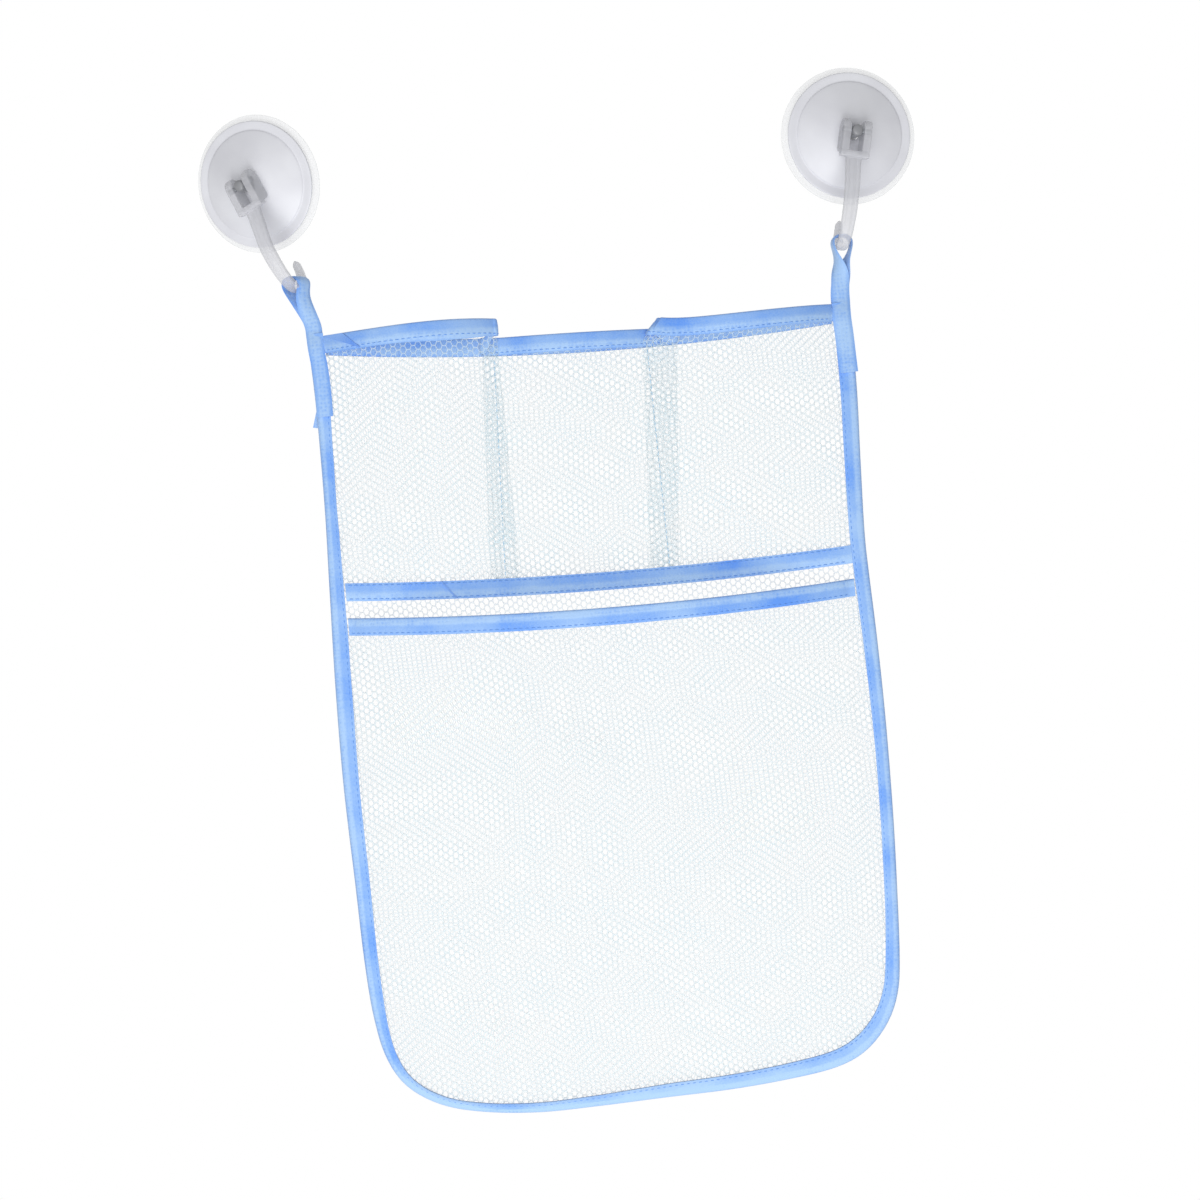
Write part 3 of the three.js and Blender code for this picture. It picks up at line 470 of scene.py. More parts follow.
def strip_shape(s, t):
    """The folded strip at a length s along its flat cut and a share t of its height.

    In plan it runs right along the left panel, turns back under it on a small half circle, turns
    right again as the middle panel, and does the same in reverse at the right divider. Each
    panel stands out by an arch across it times a swell up it.
    """
    s, t = np.broadcast_arrays(np.asarray(s, float), np.asarray(t, float))
    high = np.clip(t, 0, 1)
    r = FOLD_RADIUS + FOLD_GAPE * smooth_step(high, GAPE_FROM, GAPE_TO)
    left_out, left_in = blend_line(high, *LEFT_OUT), blend_line(high, *LEFT_IN)
    right_in = blend_line(high, *RIGHT_IN)
    right_out = blend_line(high, *RIGHT_OUT) + RIGHT_SPLAY * smooth_step(high, SPLAY_FROM, 1)
    k = np.clip(np.searchsorted(STRIP_BREAKS, s, side="right") - 1, LEFT_PANEL, RIGHT_PANEL)
    f = (s - STRIP_BREAKS[k]) / np.diff(STRIP_BREAKS)[k]
    turn = np.pi * np.clip(f, 0, 1)
    starts = np.stack([
        np.full_like(r, STRIP_ENDS[0]), left_out - r, left_out - r, left_in + r, left_in + r,
        right_in - r, right_in - r, right_out + r, right_out + r, np.full_like(r, STRIP_ENDS[1])])
    begin = np.take_along_axis(starts, k[None], axis=0)[0]
    finish = np.take_along_axis(starts, k[None] + 1, axis=0)[0]
    x = blend_line(f, begin, finish) + np.choose(k, TURN_WAY) * r * np.sin(turn)
    layer = np.choose(k, LAYER_AT) + np.choose(k, LAYER_STEP) * (1 - np.cos(turn)) / 2
    settled = np.where(k == LEFT_PANEL, f, np.where(k == RIGHT_PANEL, 1 - f, 1))
    stack = 2 * r * layer * smooth_step(settled, PANEL_FLAT, 1)
    top = strip_top(x, k, f)
    low = base_edge(x) - STRIP_FOOT
    z = low + (top - low) * t
    up = swell((z - base_edge(x)) / (top - TAPE_WIDTH - base_edge(x)))
    left, middle, right = (
        np.where(k == panel, arch((x - end) / width), 0)
        for panel, (end, width) in zip((LEFT_PANEL, MIDDLE_PANEL, RIGHT_PANEL), POCKETS))
    bulge = SIDE_BULGE * (left + right) + MIDDLE_BULGE * middle
    free = smooth_step(np.minimum(up, left + middle + right), 0, STRIP_FULL)
    out = bulge * up + STRIP_WAVE * ripple(x, z, STRIP_SEED) * free
    return np.stack([x, FRONT_Y + stack - out, z], axis=-1)


def strip_cut(u, w):
    """Flat cut coordinates to the length and the height share that strip_shape takes."""
    length, height = rotate(u, w, STRIP_TURN)
    length = length + STRIP_DRIFT * wave(u, w, *LENGTH_RUNS)
    return length, (height + STRIP_DRIFT * np.sin(u / HEIGHT_RUN)) / STRIP_HEIGHT


def strip_kept(s, t):
    """Whether a length and a height share lie on the strip."""
    inside = (s > STRIP_MARGIN) & (s < STRIP_BREAKS[-1] - STRIP_MARGIN)
    return inside & (t > 0) & (t < NET_TOP)


upper_strip = knit_net(
    "upper_pocket_net_folded", STRIP_PITCH, CUT_LOW, CUT_HIGH, strip_cut, strip_kept, strip_shape)
sew_net(upper_strip, (0.3265, 0.124), "hung", ["edge_binding", "pocket_base_tape"], "upper_pocket_net")

# Lower pocket net
# One panel of the same net over the lower two thirds of the back, sewn in round its sides and
# bottom. Its mouth stands open in the middle, and the panel bellies out below it.
INNER_X = 127.0  # inner edge of the tape down the bag's sides
LOWER_BULGE = 24.0
LOWER_PITCH = (2.5, 3.57)
LOWER_TURN = (-2.0, 1.8)
LOWER_WAVE, LOWER_SEED, LOWER_FULL = 0.9, 2.9, 0.6  # waves, as those of the strip
POCKET_HIGH = (165, -145)  # upper right corner of its flat cut
POCKET_FLOOR = -409.0
CORNER_X, CORNER_Z, CORNER_ROOM = 91.0, -373.0, 36.0  # middle and radius of a lower corner
BULGE_RUN = 8.0  # run over which the bulge rises beside the edge tape


def lower_surface(x, z):
    """Distance of the lower pocket from the bag's middle plane: an arch across times a swell up."""
    ceiling = mouth_edge(x) - TAPE_WIDTH
    up = swell((np.minimum(z, ceiling) - POCKET_FLOOR) / (ceiling - POCKET_FLOOR))
    corner = np.hypot(np.maximum(np.abs(x) - CORNER_X, 0), np.maximum(CORNER_Z - z, 0))
    room = np.clip(np.minimum(INNER_X - np.abs(x), CORNER_ROOM - corner) / BULGE_RUN, 0, 1)
    out = LOWER_BULGE * arch((x + INNER_X) / (2 * INNER_X)) * up * smooth_step(room)
    free = smooth_step(np.minimum(room, up), 0, LOWER_FULL)
    return FRONT_Y - out - LOWER_WAVE * ripple(x, z, LOWER_SEED) * free


def lower_shape(x, z):
    """The lower pocket's points by their place across the bag and their height."""
    return np.stack([x, lower_surface(x, z), z], axis=-1)


def lower_kept(x, z):
    """Whether a point lies inside the rim and below the mouth."""
    return within(x, z, rim_loop) & (z < mouth_edge(x) - NET_INSET)


lower_panel = knit_net(
    "lower_pocket_net_panel", LOWER_PITCH, FLAT_LOW, POCKET_HIGH, askew(*LOWER_TURN), lower_kept, lower_shape)
sew_net(lower_panel, (CUT_WIDTH, 0.252), "hung", ["edge_binding"], "lower_pocket_net")

# Tapes across the bag
# Pale blue non-woven tape, folded over the top of the back, of the upper strip and of the lower
# pocket and sewn along its open edges, and one flat length sewn over the foot of the strip.
TAPE_WALL = 0.4
HEM_SLOT = 0.55  # half the room for the net inside a folded hem
HEM_CROWN = 0.25
FLAP_STEPS, BEND_STEPS = 9, 7
HALF_TAPE = 126.4  # half the length of a tape between the two sides of the edge binding
HEM_ENDS = (8.2, 8.0)  # ends of the upper hem in from the strip's ends
TURN_STRETCHES = (1, 3, 5, 7)
FLAP_ALONG = [0, 45, 67, 82, 94, 108]  # lengths along the upper hem where its flap was measured
FLAP_WIDTHS = [8.8, 9.0, 10.2, 9.9, 8.5, 8.8]
SHEET_DEPTH = 100.0  # depth of net below an edge that a tape's surface covers
CRISP = 50.0  # degrees past which an edge of tape stays crisp


def fold_lines(front, back, slot, crown):
    """Outer and inner lines of a folded tape's section as (in from the fold, out to the front).

    Each goes along the front flap to the fold, round a half circle and along the back flap. The
    flaps' outsides are crowned by a half sine.
    """
    front, back = np.broadcast_arrays(np.atleast_1d(front)[:, None], np.atleast_1d(back)[:, None])
    share = np.linspace(0, 1, FLAP_STEPS)[None]
    angle = np.linspace(0, np.pi, BEND_STEPS)[None, 1:-1] + 0 * front
    fold = slot + TAPE_WALL
    lines = []
    for radius, lift in ((fold, crown), (slot, 0.0)):
        puff = radius + lift * np.sin(np.pi * share) + 0 * front
        inwards = [front + (fold - front) * share, fold - radius * np.sin(angle),
                   fold + (back - fold) * share]
        outwards = [puff, radius * np.cos(angle), -puff]
        lines.append((np.concatenate(inwards, axis=1), np.concatenate(outwards, axis=1)))
    return lines


def signed_volume(points, faces):
    """Six times the volume inside faces of three or four corners, below 0 where they point inwards."""
    total = 0.0
    for k in range(1, faces.shape[1] - 1):
        a, b, c = points[faces[:, 0]], points[faces[:, k]], points[faces[:, k + 1]]
        total += (np.cross(b - a, c - a) * a).sum()
    return total


def lay_closed(name, points, quads, tris, crisp, uv=None):
    """A closed mesh with its faces turned outwards and its sharper edges kept crisp."""
    if signed_volume(points, quads) + signed_volume(points, tris) < 0:
        quads, tris = quads[:, ::-1], tris[:, ::-1]
    piece = lay_mesh(name, points, quads, tris, uv)
    piece.data.set_sharp_from_angle(angle=math.radians(crisp))
    return piece


NO_TRIS = np.zeros((0, 3), int)


def close_tape(name, outer, inner, along, over):
    """A thin solid between two grids of the same size, closed at both sides and both ends.

    UV holds the length in metres and the share across the tape from its fold or upper edge.
    """
    n, k = outer.shape[:2]
    cell = (np.arange(n - 1)[:, None] * k + np.arange(k - 1)[None]).ravel()
    shell = np.stack([cell, cell + 1, cell + k + 1, cell + k], axis=1)
    lift = n * k
    first, start = np.arange(n - 1) * k, np.arange(k - 1)
    last, end = first + k - 1, start + (n - 1) * k
    quads = np.concatenate([
        shell, shell[:, ::-1] + lift,
        np.stack([first, first + k, first + k + lift, first + lift], axis=1),
        np.stack([last + k, last, last + lift, last + k + lift], axis=1),
        np.stack([start + 1, start, start + lift, start + 1 + lift], axis=1),
        np.stack([end, end + 1, end + 1 + lift, end + lift], axis=1),
    ])
    uv = np.stack(np.broadcast_arrays(along[:, None] * 0.001, np.broadcast_to(over, (n, k))), axis=-1)
    points = np.concatenate([outer.reshape(-1, 3), inner.reshape(-1, 3)])
    return lay_closed(name, points, quads, NO_TRIS, CRISP, np.concatenate([uv.reshape(-1, 2)] * 2))


def off_cloth(shape, s, t):
    """Unit vectors off a surface that is given by a length in millimetres and a share."""
    return facing(shape, s, t, 0.05, 0.001)


def hem(name, shape, s, share_of, front, back):
    """A tape folded over the upper edge of a surface: its section laid off the surface all along."""
    lines = fold_lines(front, back, HEM_SLOT, HEM_CROWN)
    grids = []
    for inwards, outwards in lines:
        inwards, outwards = np.broadcast_arrays(inwards + 0 * s[:, None], outwards)
        length = s[:, None] + 0 * inwards
        t = share_of(length, inwards)
        grids.append(shape(length, t) + off_cloth(shape, length, t) * outwards[..., None])
    over = np.abs(lines[0][0]) / np.atleast_1d(front)[:, None]
    return close_tape(name, *grids, line_length(grids[0][:, 0]), over)


strip_s = np.unique(np.concatenate([
    np.linspace(HEM_ENDS[0], STRIP_BREAKS[-1] - HEM_ENDS[1], 150),
    *[np.linspace(STRIP_BREAKS[k] - 1, STRIP_BREAKS[k + 1] + 1, 9) for k in TURN_STRETCHES],
]))


def strip_share(s, inset):
    """Height share at an inset in millimetres below the strip's upper edge."""
    p = strip_shape(s, np.ones_like(s))
    return 1 - inset / (p[..., 2] - base_edge(p[..., 0]) + STRIP_FOOT)


def back_sheet(s, t):
    """The back net by its place across and the share t of its upper part."""
    z = top_edge(s) - SHEET_DEPTH * (1 - t)
    return np.stack([s, np.full_like(z, BACK_Y), z], axis=-1)


def mouth_sheet(s, t):
    """The lower pocket by its place across and the share t of its upper part."""
    return lower_shape(s, mouth_edge(s) - SHEET_DEPTH * (1 - t))


def sheet_share(s, inset):
    """Height share at an inset in millimetres below the back's top or the lower pocket's mouth."""
    return 1 - inset / SHEET_DEPTH + 0 * s


tape_s = np.linspace(-HALF_TAPE, HALF_TAPE, 130)
upper_flap = np.interp(strip_s, FLAP_ALONG, FLAP_WIDTHS)
upper_hem = hem("upper_hem_tape_folded", strip_shape, strip_s, strip_share, upper_flap, 8.2)
back_top = hem("back_top_tape", back_sheet, tape_s, sheet_share, 9.0, 9.0)
lower_hem = hem("lower_hem_tape_folded", mouth_sheet, tape_s, sheet_share, 8.7, 8.4)

BASE_SET = 0.95  # middle of the flat tape before the front nets
PLEAT_PADS, PAD_HALF, PAD_RISE = (-47.0, 32.5), 9.5, 1.25  # the folded net that lifts it
BASE_HALF, BASE_CROWN = 0.12, 0.3  # half its thickness at the edges, and its crown
SEWN_SHARES, SEAM_HALF, SEAM_DIP = (0.12, 0.88), 0.05, 0.16  # its two seams and how they dip


def base_front(x):
    """Distance of the flat tape's middle from the bag's middle plane, more over the folded net."""
    rise = sum(np.exp(-((x - pad) / PAD_HALF) ** 2) for pad in PLEAT_PADS)
    return FRONT_Y - BASE_SET - PAD_RISE * rise


base_over = np.linspace(0, 1, 13)
base_x = tape_s[:, None] + 0 * base_over
base_z = base_edge(base_x) - TAPE_WIDTH * base_over
base_y = base_front(base_x)
crown = BASE_CROWN * np.sqrt(np.maximum(1 - (2 * base_over - 1) ** 4, 0)) + BASE_HALF
dip = SEAM_DIP * sum(np.exp(-((base_over - seam) / SEAM_HALF) ** 2) for seam in SEWN_SHARES)
base_tape = close_tape(
    "pocket_base_tape_crowned",
    np.stack([base_x, base_y - crown + dip, base_z], axis=-1),
    np.stack([base_x, base_y + BASE_HALF, base_z], axis=-1), tape_s, base_over)

HEM_FACE = HEM_SLOT + TAPE_WALL + 0.27  # face of a hem off its net
BASE_FACE = 0.44  # face of the flat tape off its middle
SCRAP_FACE, SCRAP_BACK = 0.35, 0.02  # a scrap's two faces off what it lies on
TUCK_CORNERS = ((8.8, 0.3), (19.0, 0.3), (27.6, 8.4), (27.0, 8.5))  # length and inset on the hem
SPLICE_CORNERS = ((-79.4, 0.02), (-78.2, 0.02), (-70.9, 0.97), (-72.1, 0.97))  # x and share


def patch(name, surface, corners):
    """A scrap of tape lying on a surface, its four corners joined bilinearly in the surface's terms."""
    a, b, c, d = (np.array(corner) for corner in corners)
    p = np.linspace(0, 1, 14)[:, None, None]
    q = np.linspace(0, 1, 8)[None, :, None]
    at = (1 - p) * ((1 - q) * a + q * b) + p * ((1 - q) * d + q * c)
    outer = surface(at[..., 0], at[..., 1], SCRAP_FACE)
    inner = surface(at[..., 0], at[..., 1], SCRAP_BACK)
    return close_tape(name, outer, inner, line_length(outer[:, 0]), q[0, :, 0])


def on_upper_hem(s, inset, lift):
    """The upper hem's face by the length along it and the inset below its fold, lifted off."""
    t = strip_share(s, inset)
    return strip_shape(s, t) + (HEM_FACE + lift) * off_cloth(strip_shape, s, t)


def on_base_tape(x, share, lift):
    """The flat tape's face by the place across and the share of its width, lifted off."""
    return np.stack([x, base_front(x) - BASE_FACE - lift, base_edge(x) - TAPE_WIDTH * share], axis=-1)


hem_tuck = patch("upper_hem_tuck", on_upper_hem, TUCK_CORNERS)
base_splice = patch("base_tape_splice", on_base_tape, SPLICE_CORNERS)


def tape_finish(name, deep, middle, pale, press_from, press_to):
    """Non-woven tape: blue in patches, paler along the bag's foot as a painted sheen on the rolled binding,
    and a band pressed against the net.
    """
    material, tree, shader, place = new_finish(name)
    across = add_node(tree, "ShaderNodeSeparateXYZ", i0=place.node.outputs["UV"]).outputs["Y"]
    height = add_node(tree, "ShaderNodeSeparateXYZ", i0=place).outputs["Z"]
    fibres = noise(tree, place, scale=1500.0, detail=4.0)
    patches = noise(tree, place, scale=38.0, detail=3.0)
    mottle = maths(tree, "MULTIPLY_ADD", fibres, 0.35, patches)
    dots = add_node(tree, "ShaderNodeTexVoronoi", {"feature": "SMOOTH_F1"},
                    Vector=place, Scale=520.0, Randomness=0.35).outputs["Distance"]
    begins = to_range(tree, across, (press_from - 0.1, press_from + 0.2), kind="SMOOTHSTEP")
    ends = to_range(tree, across, (press_to - 0.15, press_to + 0.05), (1.0, 0.0), kind="SMOOTHSTEP")
    pressed = maths(tree, "MULTIPLY", dots, maths(tree, "MULTIPLY", begins, ends))
    # Painted sheen: the tape turns paler towards the bag's foot, where the rolled binding catches the light.
    painted_sheen = to_range(tree, height, (-0.385, -0.412), (0.0, 0.22))
    mottle_and_sheen = maths(tree, "ADD", mottle, painted_sheen)
    pattern_and_sheen = maths(tree, "MULTIPLY_ADD", pressed, 0.65, mottle_and_sheen)
    lumps = maths(tree, "MULTIPLY_ADD", pressed, 1.6, fibres)
    wire(
        shader, Roughness=0.72, Sheen_Weight=0.2,
        Base_Color=shades(tree, pattern_and_sheen, (0.44, deep), (0.62, middle), (1.0, pale)),
        Normal=relief(tree, lumps, strength=0.4, depth=0.00025))
    return material


TAPE_BLUES = (0.37, 0.595, 0.945), (0.505, 0.68, 0.935), (0.65, 0.785, 0.95)
# Painted shade: darker copies of the tape's blues stand for the shade in the tuck on the upper hem and under
# the lap of the base tape's splice.
SHADED_FOLD_BLUES = (0.33, 0.55, 0.93), (0.46, 0.635, 0.91), (0.58, 0.72, 0.93)
hem_cloth = tape_finish("blue_tape_hem", *TAPE_BLUES, 0.48, 0.98)
edge_cloth = tape_finish("blue_tape_edge", *TAPE_BLUES, 0.02, 0.5)
shaded_fold_cloth = tape_finish("blue_tape_fold_shaded", *SHADED_FOLD_BLUES, 2.0, 2.0)
fix(upper_hem, "bag", "tape", hem_cloth, "upper_hem_tape")
fix(back_top, "bag", "tape", hem_cloth, "back_top_binding")
fix(base_tape, "bag", "tape", hem_cloth, "pocket_base_tape")
fix(lower_hem, "bag", "tape", edge_cloth, "lower_hem_tape")
fix(hem_tuck, "bag", "tape", shaded_fold_cloth)
fix(base_splice, "bag", "tape", shaded_fold_cloth)

# Edge binding
# The same tape folded over the edges of all the nets and sewn through them, from the left top
# corner down, round the bottom and up to the right one. Its front flap narrows where it rolls back.
EDGE_SLOT = 1.625  # half the room for the nets inside the fold
EDGE_CROWN = 0.35
BACK_SHORT = 0.4  # how much narrower the back flap is
RIM_READ = 1035.0  # length of the rim on which the flap's widths were read
EDGE_ALONG = [0, 60, 90, 160, 200, 280, 345, 375, 405, 425, 445, 470, 500, 540, 580, 610,
              640, 680, 720, 800, 850, 900, 960, 1010, 1060]
EDGE_WIDTHS = [8.2, 6.6, 6.2, 8.2, 8.4, 7.6, 6.8, 5.6, 4.6, 4.4, 4.6, 5.0, 5.6, 7.0, 7.6, 8.2,
               8.6, 7.6, 6.6, 6.6, 7.2, 7.6, 8.3, 8.6, 8.6]
rim_along = line_length(rim)
front_flap = np.interp(rim_along, np.array(EDGE_ALONG) / RIM_READ * rim_along[-1], EDGE_WIDTHS)


def rim_section(inwards, outwards):
    """Points at a distance in from the rim and out to the front of the bag's middle plane."""
    flat = rim[:, None] + inwards[..., None] * rim_in[:, None]
    return np.stack([flat[..., 0], -outwards, flat[..., 1]], axis=-1)


edge_lines = fold_lines(front_flap, front_flap - BACK_SHORT, EDGE_SLOT, EDGE_CROWN)
edge_tape = close_tape(
    "edge_binding_folded", rim_section(*edge_lines[0]), rim_section(*edge_lines[1]), rim_along,
    edge_lines[0][0] / front_flap[:, None])
fix(edge_tape, "bag", "tape", edge_cloth, "edge_binding")

# Stitching
# Rows of lockstitch in darker blue thread hold the tapes and the two divider folds. Each stitch
# is a short bead of thread that dips into the cloth at both ends.
STITCH_PITCH, STITCH_LENGTH = 3.0, 2.3
ROW_START, ROW_END = 0.4, 0.2  # ends of a row that have no stitch
THREAD_RADIUS, THREAD_TAPER = 0.2, 0.8  # radius, and the share of it lost at a stitch's ends
THREAD_ARCH, THREAD_SINK = 0.22, 0.1  # rise of a stitch's middle, and how deep its ends sink
RINGS, SIDES = 5, 6  # rings along a stitch, and points round each
SEAM_LIFT = 0.12  # thread off a folded tape's flat face
HEM_LIFT = HEM_SLOT + TAPE_WALL + SEAM_LIFT
BASE_LIFT = 0.32  # thread off the flat tape's middle
HEM_SEAM, EDGE_SEAM = 7.5, 1.2  # seams below a hem's fold, and in from the binding's inner edge
HALF_SEAM, STRIP_SEAM = 125.5, 9.5  # half a tape's seam, and the upper hem's ends without one
DIVIDERS = {"left": (-46.5, -43.0), "right": (35.4, 33.4)}  # places across, at foot and top
DIVIDER_FOOT, DIVIDER_TOP, DIVIDER_OUT = 1.0, 10.0, 2.0  # above the base, below the top, off the net
TO_FRONT = np.array([0.0, -1.0, 0.0])


def stitch_row(name, line, off):
    """Beads along a line: a tube of six sides whose radius and height fall at both ends."""
    along = line_length(line)
    starts = np.arange(ROW_START, along[-1] - STITCH_LENGTH - ROW_END, STITCH_PITCH)
    share = np.linspace(0, 1, RINGS)
    at = starts[:, None] + STITCH_LENGTH * share
    p, up = at_length(line, along, at), at_length(off, along, at)
    aside = np.cross(unit(np.gradient(p, axis=1)), up)
    p = p + (THREAD_ARCH * np.sin(np.pi * share) - THREAD_SINK)[:, None] * up
    turn = np.arange(SIDES) * 2 * np.pi / SIDES
    ring = np.cos(turn)[:, None] * aside[..., None, :] + np.sin(turn)[:, None] * up[..., None, :]
    radius = THREAD_RADIUS * (1 - THREAD_TAPER * (2 * share - 1) ** 4)
    points = p[..., None, :] + radius[:, None, None] * ring
    base = np.arange(len(starts))[:, None, None] * RINGS * SIDES
    row = base + np.arange(RINGS - 1)[None, :, None] * SIDES
    a, b = row + np.arange(SIDES), row + (np.arange(SIDES) + 1) % SIDES
    tube = np.stack([a, b, b + SIDES, a + SIDES], axis=-1).reshape(-1, 4)
    first, last = base[:, 0], base[:, 0] + (RINGS - 1) * SIDES
    ends = np.concatenate([
        first + [[3, 2, 1, 0]], first + [[5, 4, 3, 0]], last + [[0, 1, 2, 3]], last + [[0, 3, 4, 5]]])
    return lay_mesh(name, points.reshape(-1, 3), np.concatenate([tube, ends]))


def hem_row(shape, s, share_of):
    """Points and outward directions along a hem's seam, lifted off the surface that it folds over."""
    t = share_of(s, HEM_SEAM)
    off = off_cloth(shape, s, t)
    return shape(s, t) + HEM_LIFT * off, off


def front_row(x, y, z):
    """Points along a line, and directions straight out to the front."""
    line = np.stack(np.broadcast_arrays(x, y, z), axis=1)
    return line, np.broadcast_to(TO_FRONT, line.shape)


def base_row(share):
    """The row at a share of the flat tape's width."""
    return front_row(seam_x, base_front(seam_x) - BASE_LIFT, base_edge(seam_x) - TAPE_WIDTH * share)


def thread_finish(name, deep, pale):
    """Twisted thread: slanting plies in two close blues, with a ridge for each."""
    material, tree, shader, place = new_finish(name)
    plies = add_node(tree, "ShaderNodeTexWave", {"bands_direction": "DIAGONAL"},
                     Vector=place, Scale=1400.0, Distortion=2.0).outputs["Fac"]
    wire(
        shader, Roughness=0.55, Base_Color=shades(tree, plies, (0.0, deep), (1.0, pale)),
        Normal=relief(tree, plies, strength=0.3, depth=0.0001))
    return material


seam_x = np.linspace(-HALF_SEAM, HALF_SEAM, 400)
seam_s = np.linspace(STRIP_SEAM, STRIP_BREAKS[-1] - STRIP_SEAM, 700)
seam_rim = (rim + (front_flap[:, None] - EDGE_SEAM) * rim_in)[2:-2]
seams = {
    "upper_hem": hem_row(strip_shape, seam_s, strip_share),
    "lower_hem": hem_row(mouth_sheet, seam_x, sheet_share),
    "base_upper": base_row(SEWN_SHARES[0]),
    "base_lower": base_row(SEWN_SHARES[1]),
    "edge": front_row(seam_rim[:, 0], -EDGE_SLOT - TAPE_WALL - SEAM_LIFT, seam_rim[:, 1]),
}
tape_thread = thread_finish("tape_thread", (0.34, 0.55, 0.87), (0.48, 0.68, 0.94))
net_thread = thread_finish("net_thread", (0.58, 0.78, 0.92), (0.72, 0.87, 0.96))
for name, row in seams.items():
    fix(stitch_row(f"{name}_stitches", *row), "bag", "thread", tape_thread, f"{name}_stitching")
for side, (foot, top) in DIVIDERS.items():
    z = np.linspace(base_edge(foot) + DIVIDER_FOOT, top_edge(top) - DIVIDER_TOP, 120)
    row = front_row(np.linspace(foot, top, 120), FRONT_Y - DIVIDER_OUT, z)
    piece = stitch_row(f"{side}_divider_stitches", *row)
    fix(piece, "bag", "thread", net_thread, f"{side}_divider_seam")

# Hanging loops
# At each top corner the binding tape runs on up, over the hook and back down, and its raw end is
# sewn over the front of the binding. On its way up it turns, to lie along the hook's bar.
LOOP_BEND, LOOP_CLOSE = 7.0, 2.5  # how wide the tape bends over the hook, and how fast it closes below
FOOT_RISE, TOP_RISE = 1.75, 3.4  # ends of the free tape above the binding and above the hook's seat
LEG_SET = 0.9  # legs before and behind the bag's middle plane
LOOP_HALF, LOOP_CROWN, TOP_WIDTH = 0.5, 0.35, 8.2  # half thickness, crown across, width at the top
LOOP_ACROSS = 11
TURN_FROM, TURN_TO = 0.15, 0.85  # shares of the height where the turn starts and ends
TAIL_OUT = 0.75  # raw end before the binding's face
BEHIND = ((1.0, 2.0), (1.2, 6.0))  # the back leg's end behind the middle plane, and below its foot
BEND_BELOW, BEND_ABOVE, BIGHT_BELOW = 1.0, 5.0, 3.0  # heights below and above a loop's foot, and below its seat
LOOPS = {  # turn of the hook's bar and slant on it in degrees, and the raw end's way down the binding
    "left": {
        "foot": (-131.5, -25.0), "seat": (-138.5, 1.0), "turn": -15.0, "slant": -30.0, "width": 8.1,
        "tail": [(-130.9, -32), (-129.8, -42), (-129.3, -52), (-129.2, -60), (-129.3, -66)]},
    "right": {
        "foot": (131.5, -31.0), "seat": (134.5, -1.0), "turn": 5.0, "slant": 0.0, "width": 9.3,
        "tail": [(131.2, -38), (131.7, -47), (132.0, -56), (132.4, -66)]},
}


def loop_tape(foot, seat, turn, slant, width, tail):
    """Ribbon up from its raw end, over the hook and down behind the binding.

    Above the binding its height goes with the sine of the share along it. The legs swing apart
    along the turned direction close below the hook, and the ribbon's width turns from across
    the bag to along the hook's bar.
    """
    a, b = math.radians(turn), math.radians(turn + slant)
    sense = 1 if turn < 0 else -1
    low, high = foot[1] + FOOT_RISE, seat[1] + TOP_RISE
    apart = math.sqrt(LOOP_BEND * (high - low)) / 2
    t = np.linspace(0, 1, 73)
    share = np.maximum(np.sin(np.pi * t), 0)
    swing = -apart * np.sin(2 * np.pi * t) * share ** LOOP_CLOSE
    x = foot[0] + (seat[0] - foot[0]) * smooth_step(share, 0, TURN_TO) + swing * math.cos(a)
    y = LEG_SET * sense * np.cos(np.pi * t) + swing * math.sin(a)
    spine = np.stack([x, y, low + (high - low) * share], axis=1)[::-sense]
    raw = np.insert(np.array(tail)[::-1], 1, -EDGE_SLOT - TAPE_WALL - TAIL_OUT, axis=1)
    start = smooth_line(np.vstack([raw, spine[:2] * [1, 0, 1] + [0, -LEG_SET, 0]]), 26)[:-2]
    end = np.array([(foot[0], back, low - drop) for back, drop in BEHIND])
    line = np.concatenate([start, spine, end])
    share = np.concatenate([np.zeros(len(start)), share, np.zeros(len(end))])
    turning = smooth_step(share, TURN_FROM, TURN_TO)[:, None]
    run = unit(np.gradient(line, axis=0))
    bar_way = np.array([-math.sin(b), math.cos(b), 0]) * sense
    way = (1 - turning) * np.array([1.0, 0, 0]) + turning * bar_way
    way = unit(way - (way * run).sum(axis=1, keepdims=True) * run)[:, None]
    thin = np.cross(way, run[:, None])
    over = np.linspace(-1, 1, LOOP_ACROSS)
    half = (width + (TOP_WIDTH - width) * share) / 2
    crown = LOOP_CROWN * (1 - over ** 2)
    middle = line[:, None] + (half[:, None] * over)[..., None] * way + crown[:, None] * thin
    wall = LOOP_HALF * np.sqrt(np.maximum(1.05 - over ** 6, 0.05))[:, None] * thin
    return middle + wall, middle - wall, line_length(line), over / 2 + 0.5


loop_cloth = tape_finish("blue_tape_loop", *TAPE_BLUES, 0.1, 0.9)
for name, loop in LOOPS.items():
    outer, inner, along, over = loop_tape(**loop)
    (foot_x, foot_z), seat_z = loop["foot"], loop["seat"][1]
    hanger, hook = f"{name}_hanger", f"{name}_hook"
    halfway = (foot_z + seat_z) / 2
    high = np.flatnonzero(outer[:, LOOP_ACROSS // 2, 2] > halfway)
    bent = (foot_z - BEND_BELOW, foot_z + BEND_ABOVE)
    for part, rows, bodies, heights, nodes in (
            ("front_leg", slice(0, high[0] + 1), ("bag", hanger), bent, [f"{name}_loop_tail"]),
            ("back_leg", slice(high[-1], None), ("bag", hanger), bent, []),
            ("bight", slice(high[0], high[-1] + 1), (hanger, hook), (halfway, seat_z - BIGHT_BELOW),
             [f"{name}_loop"])):
        piece = close_tape(f"{name}_loop_{part}", outer[rows], inner[rows], along[rows], over)
        piece.data.materials.append(loop_cloth)
        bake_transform(piece)
        if nodes:
            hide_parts(*nodes)

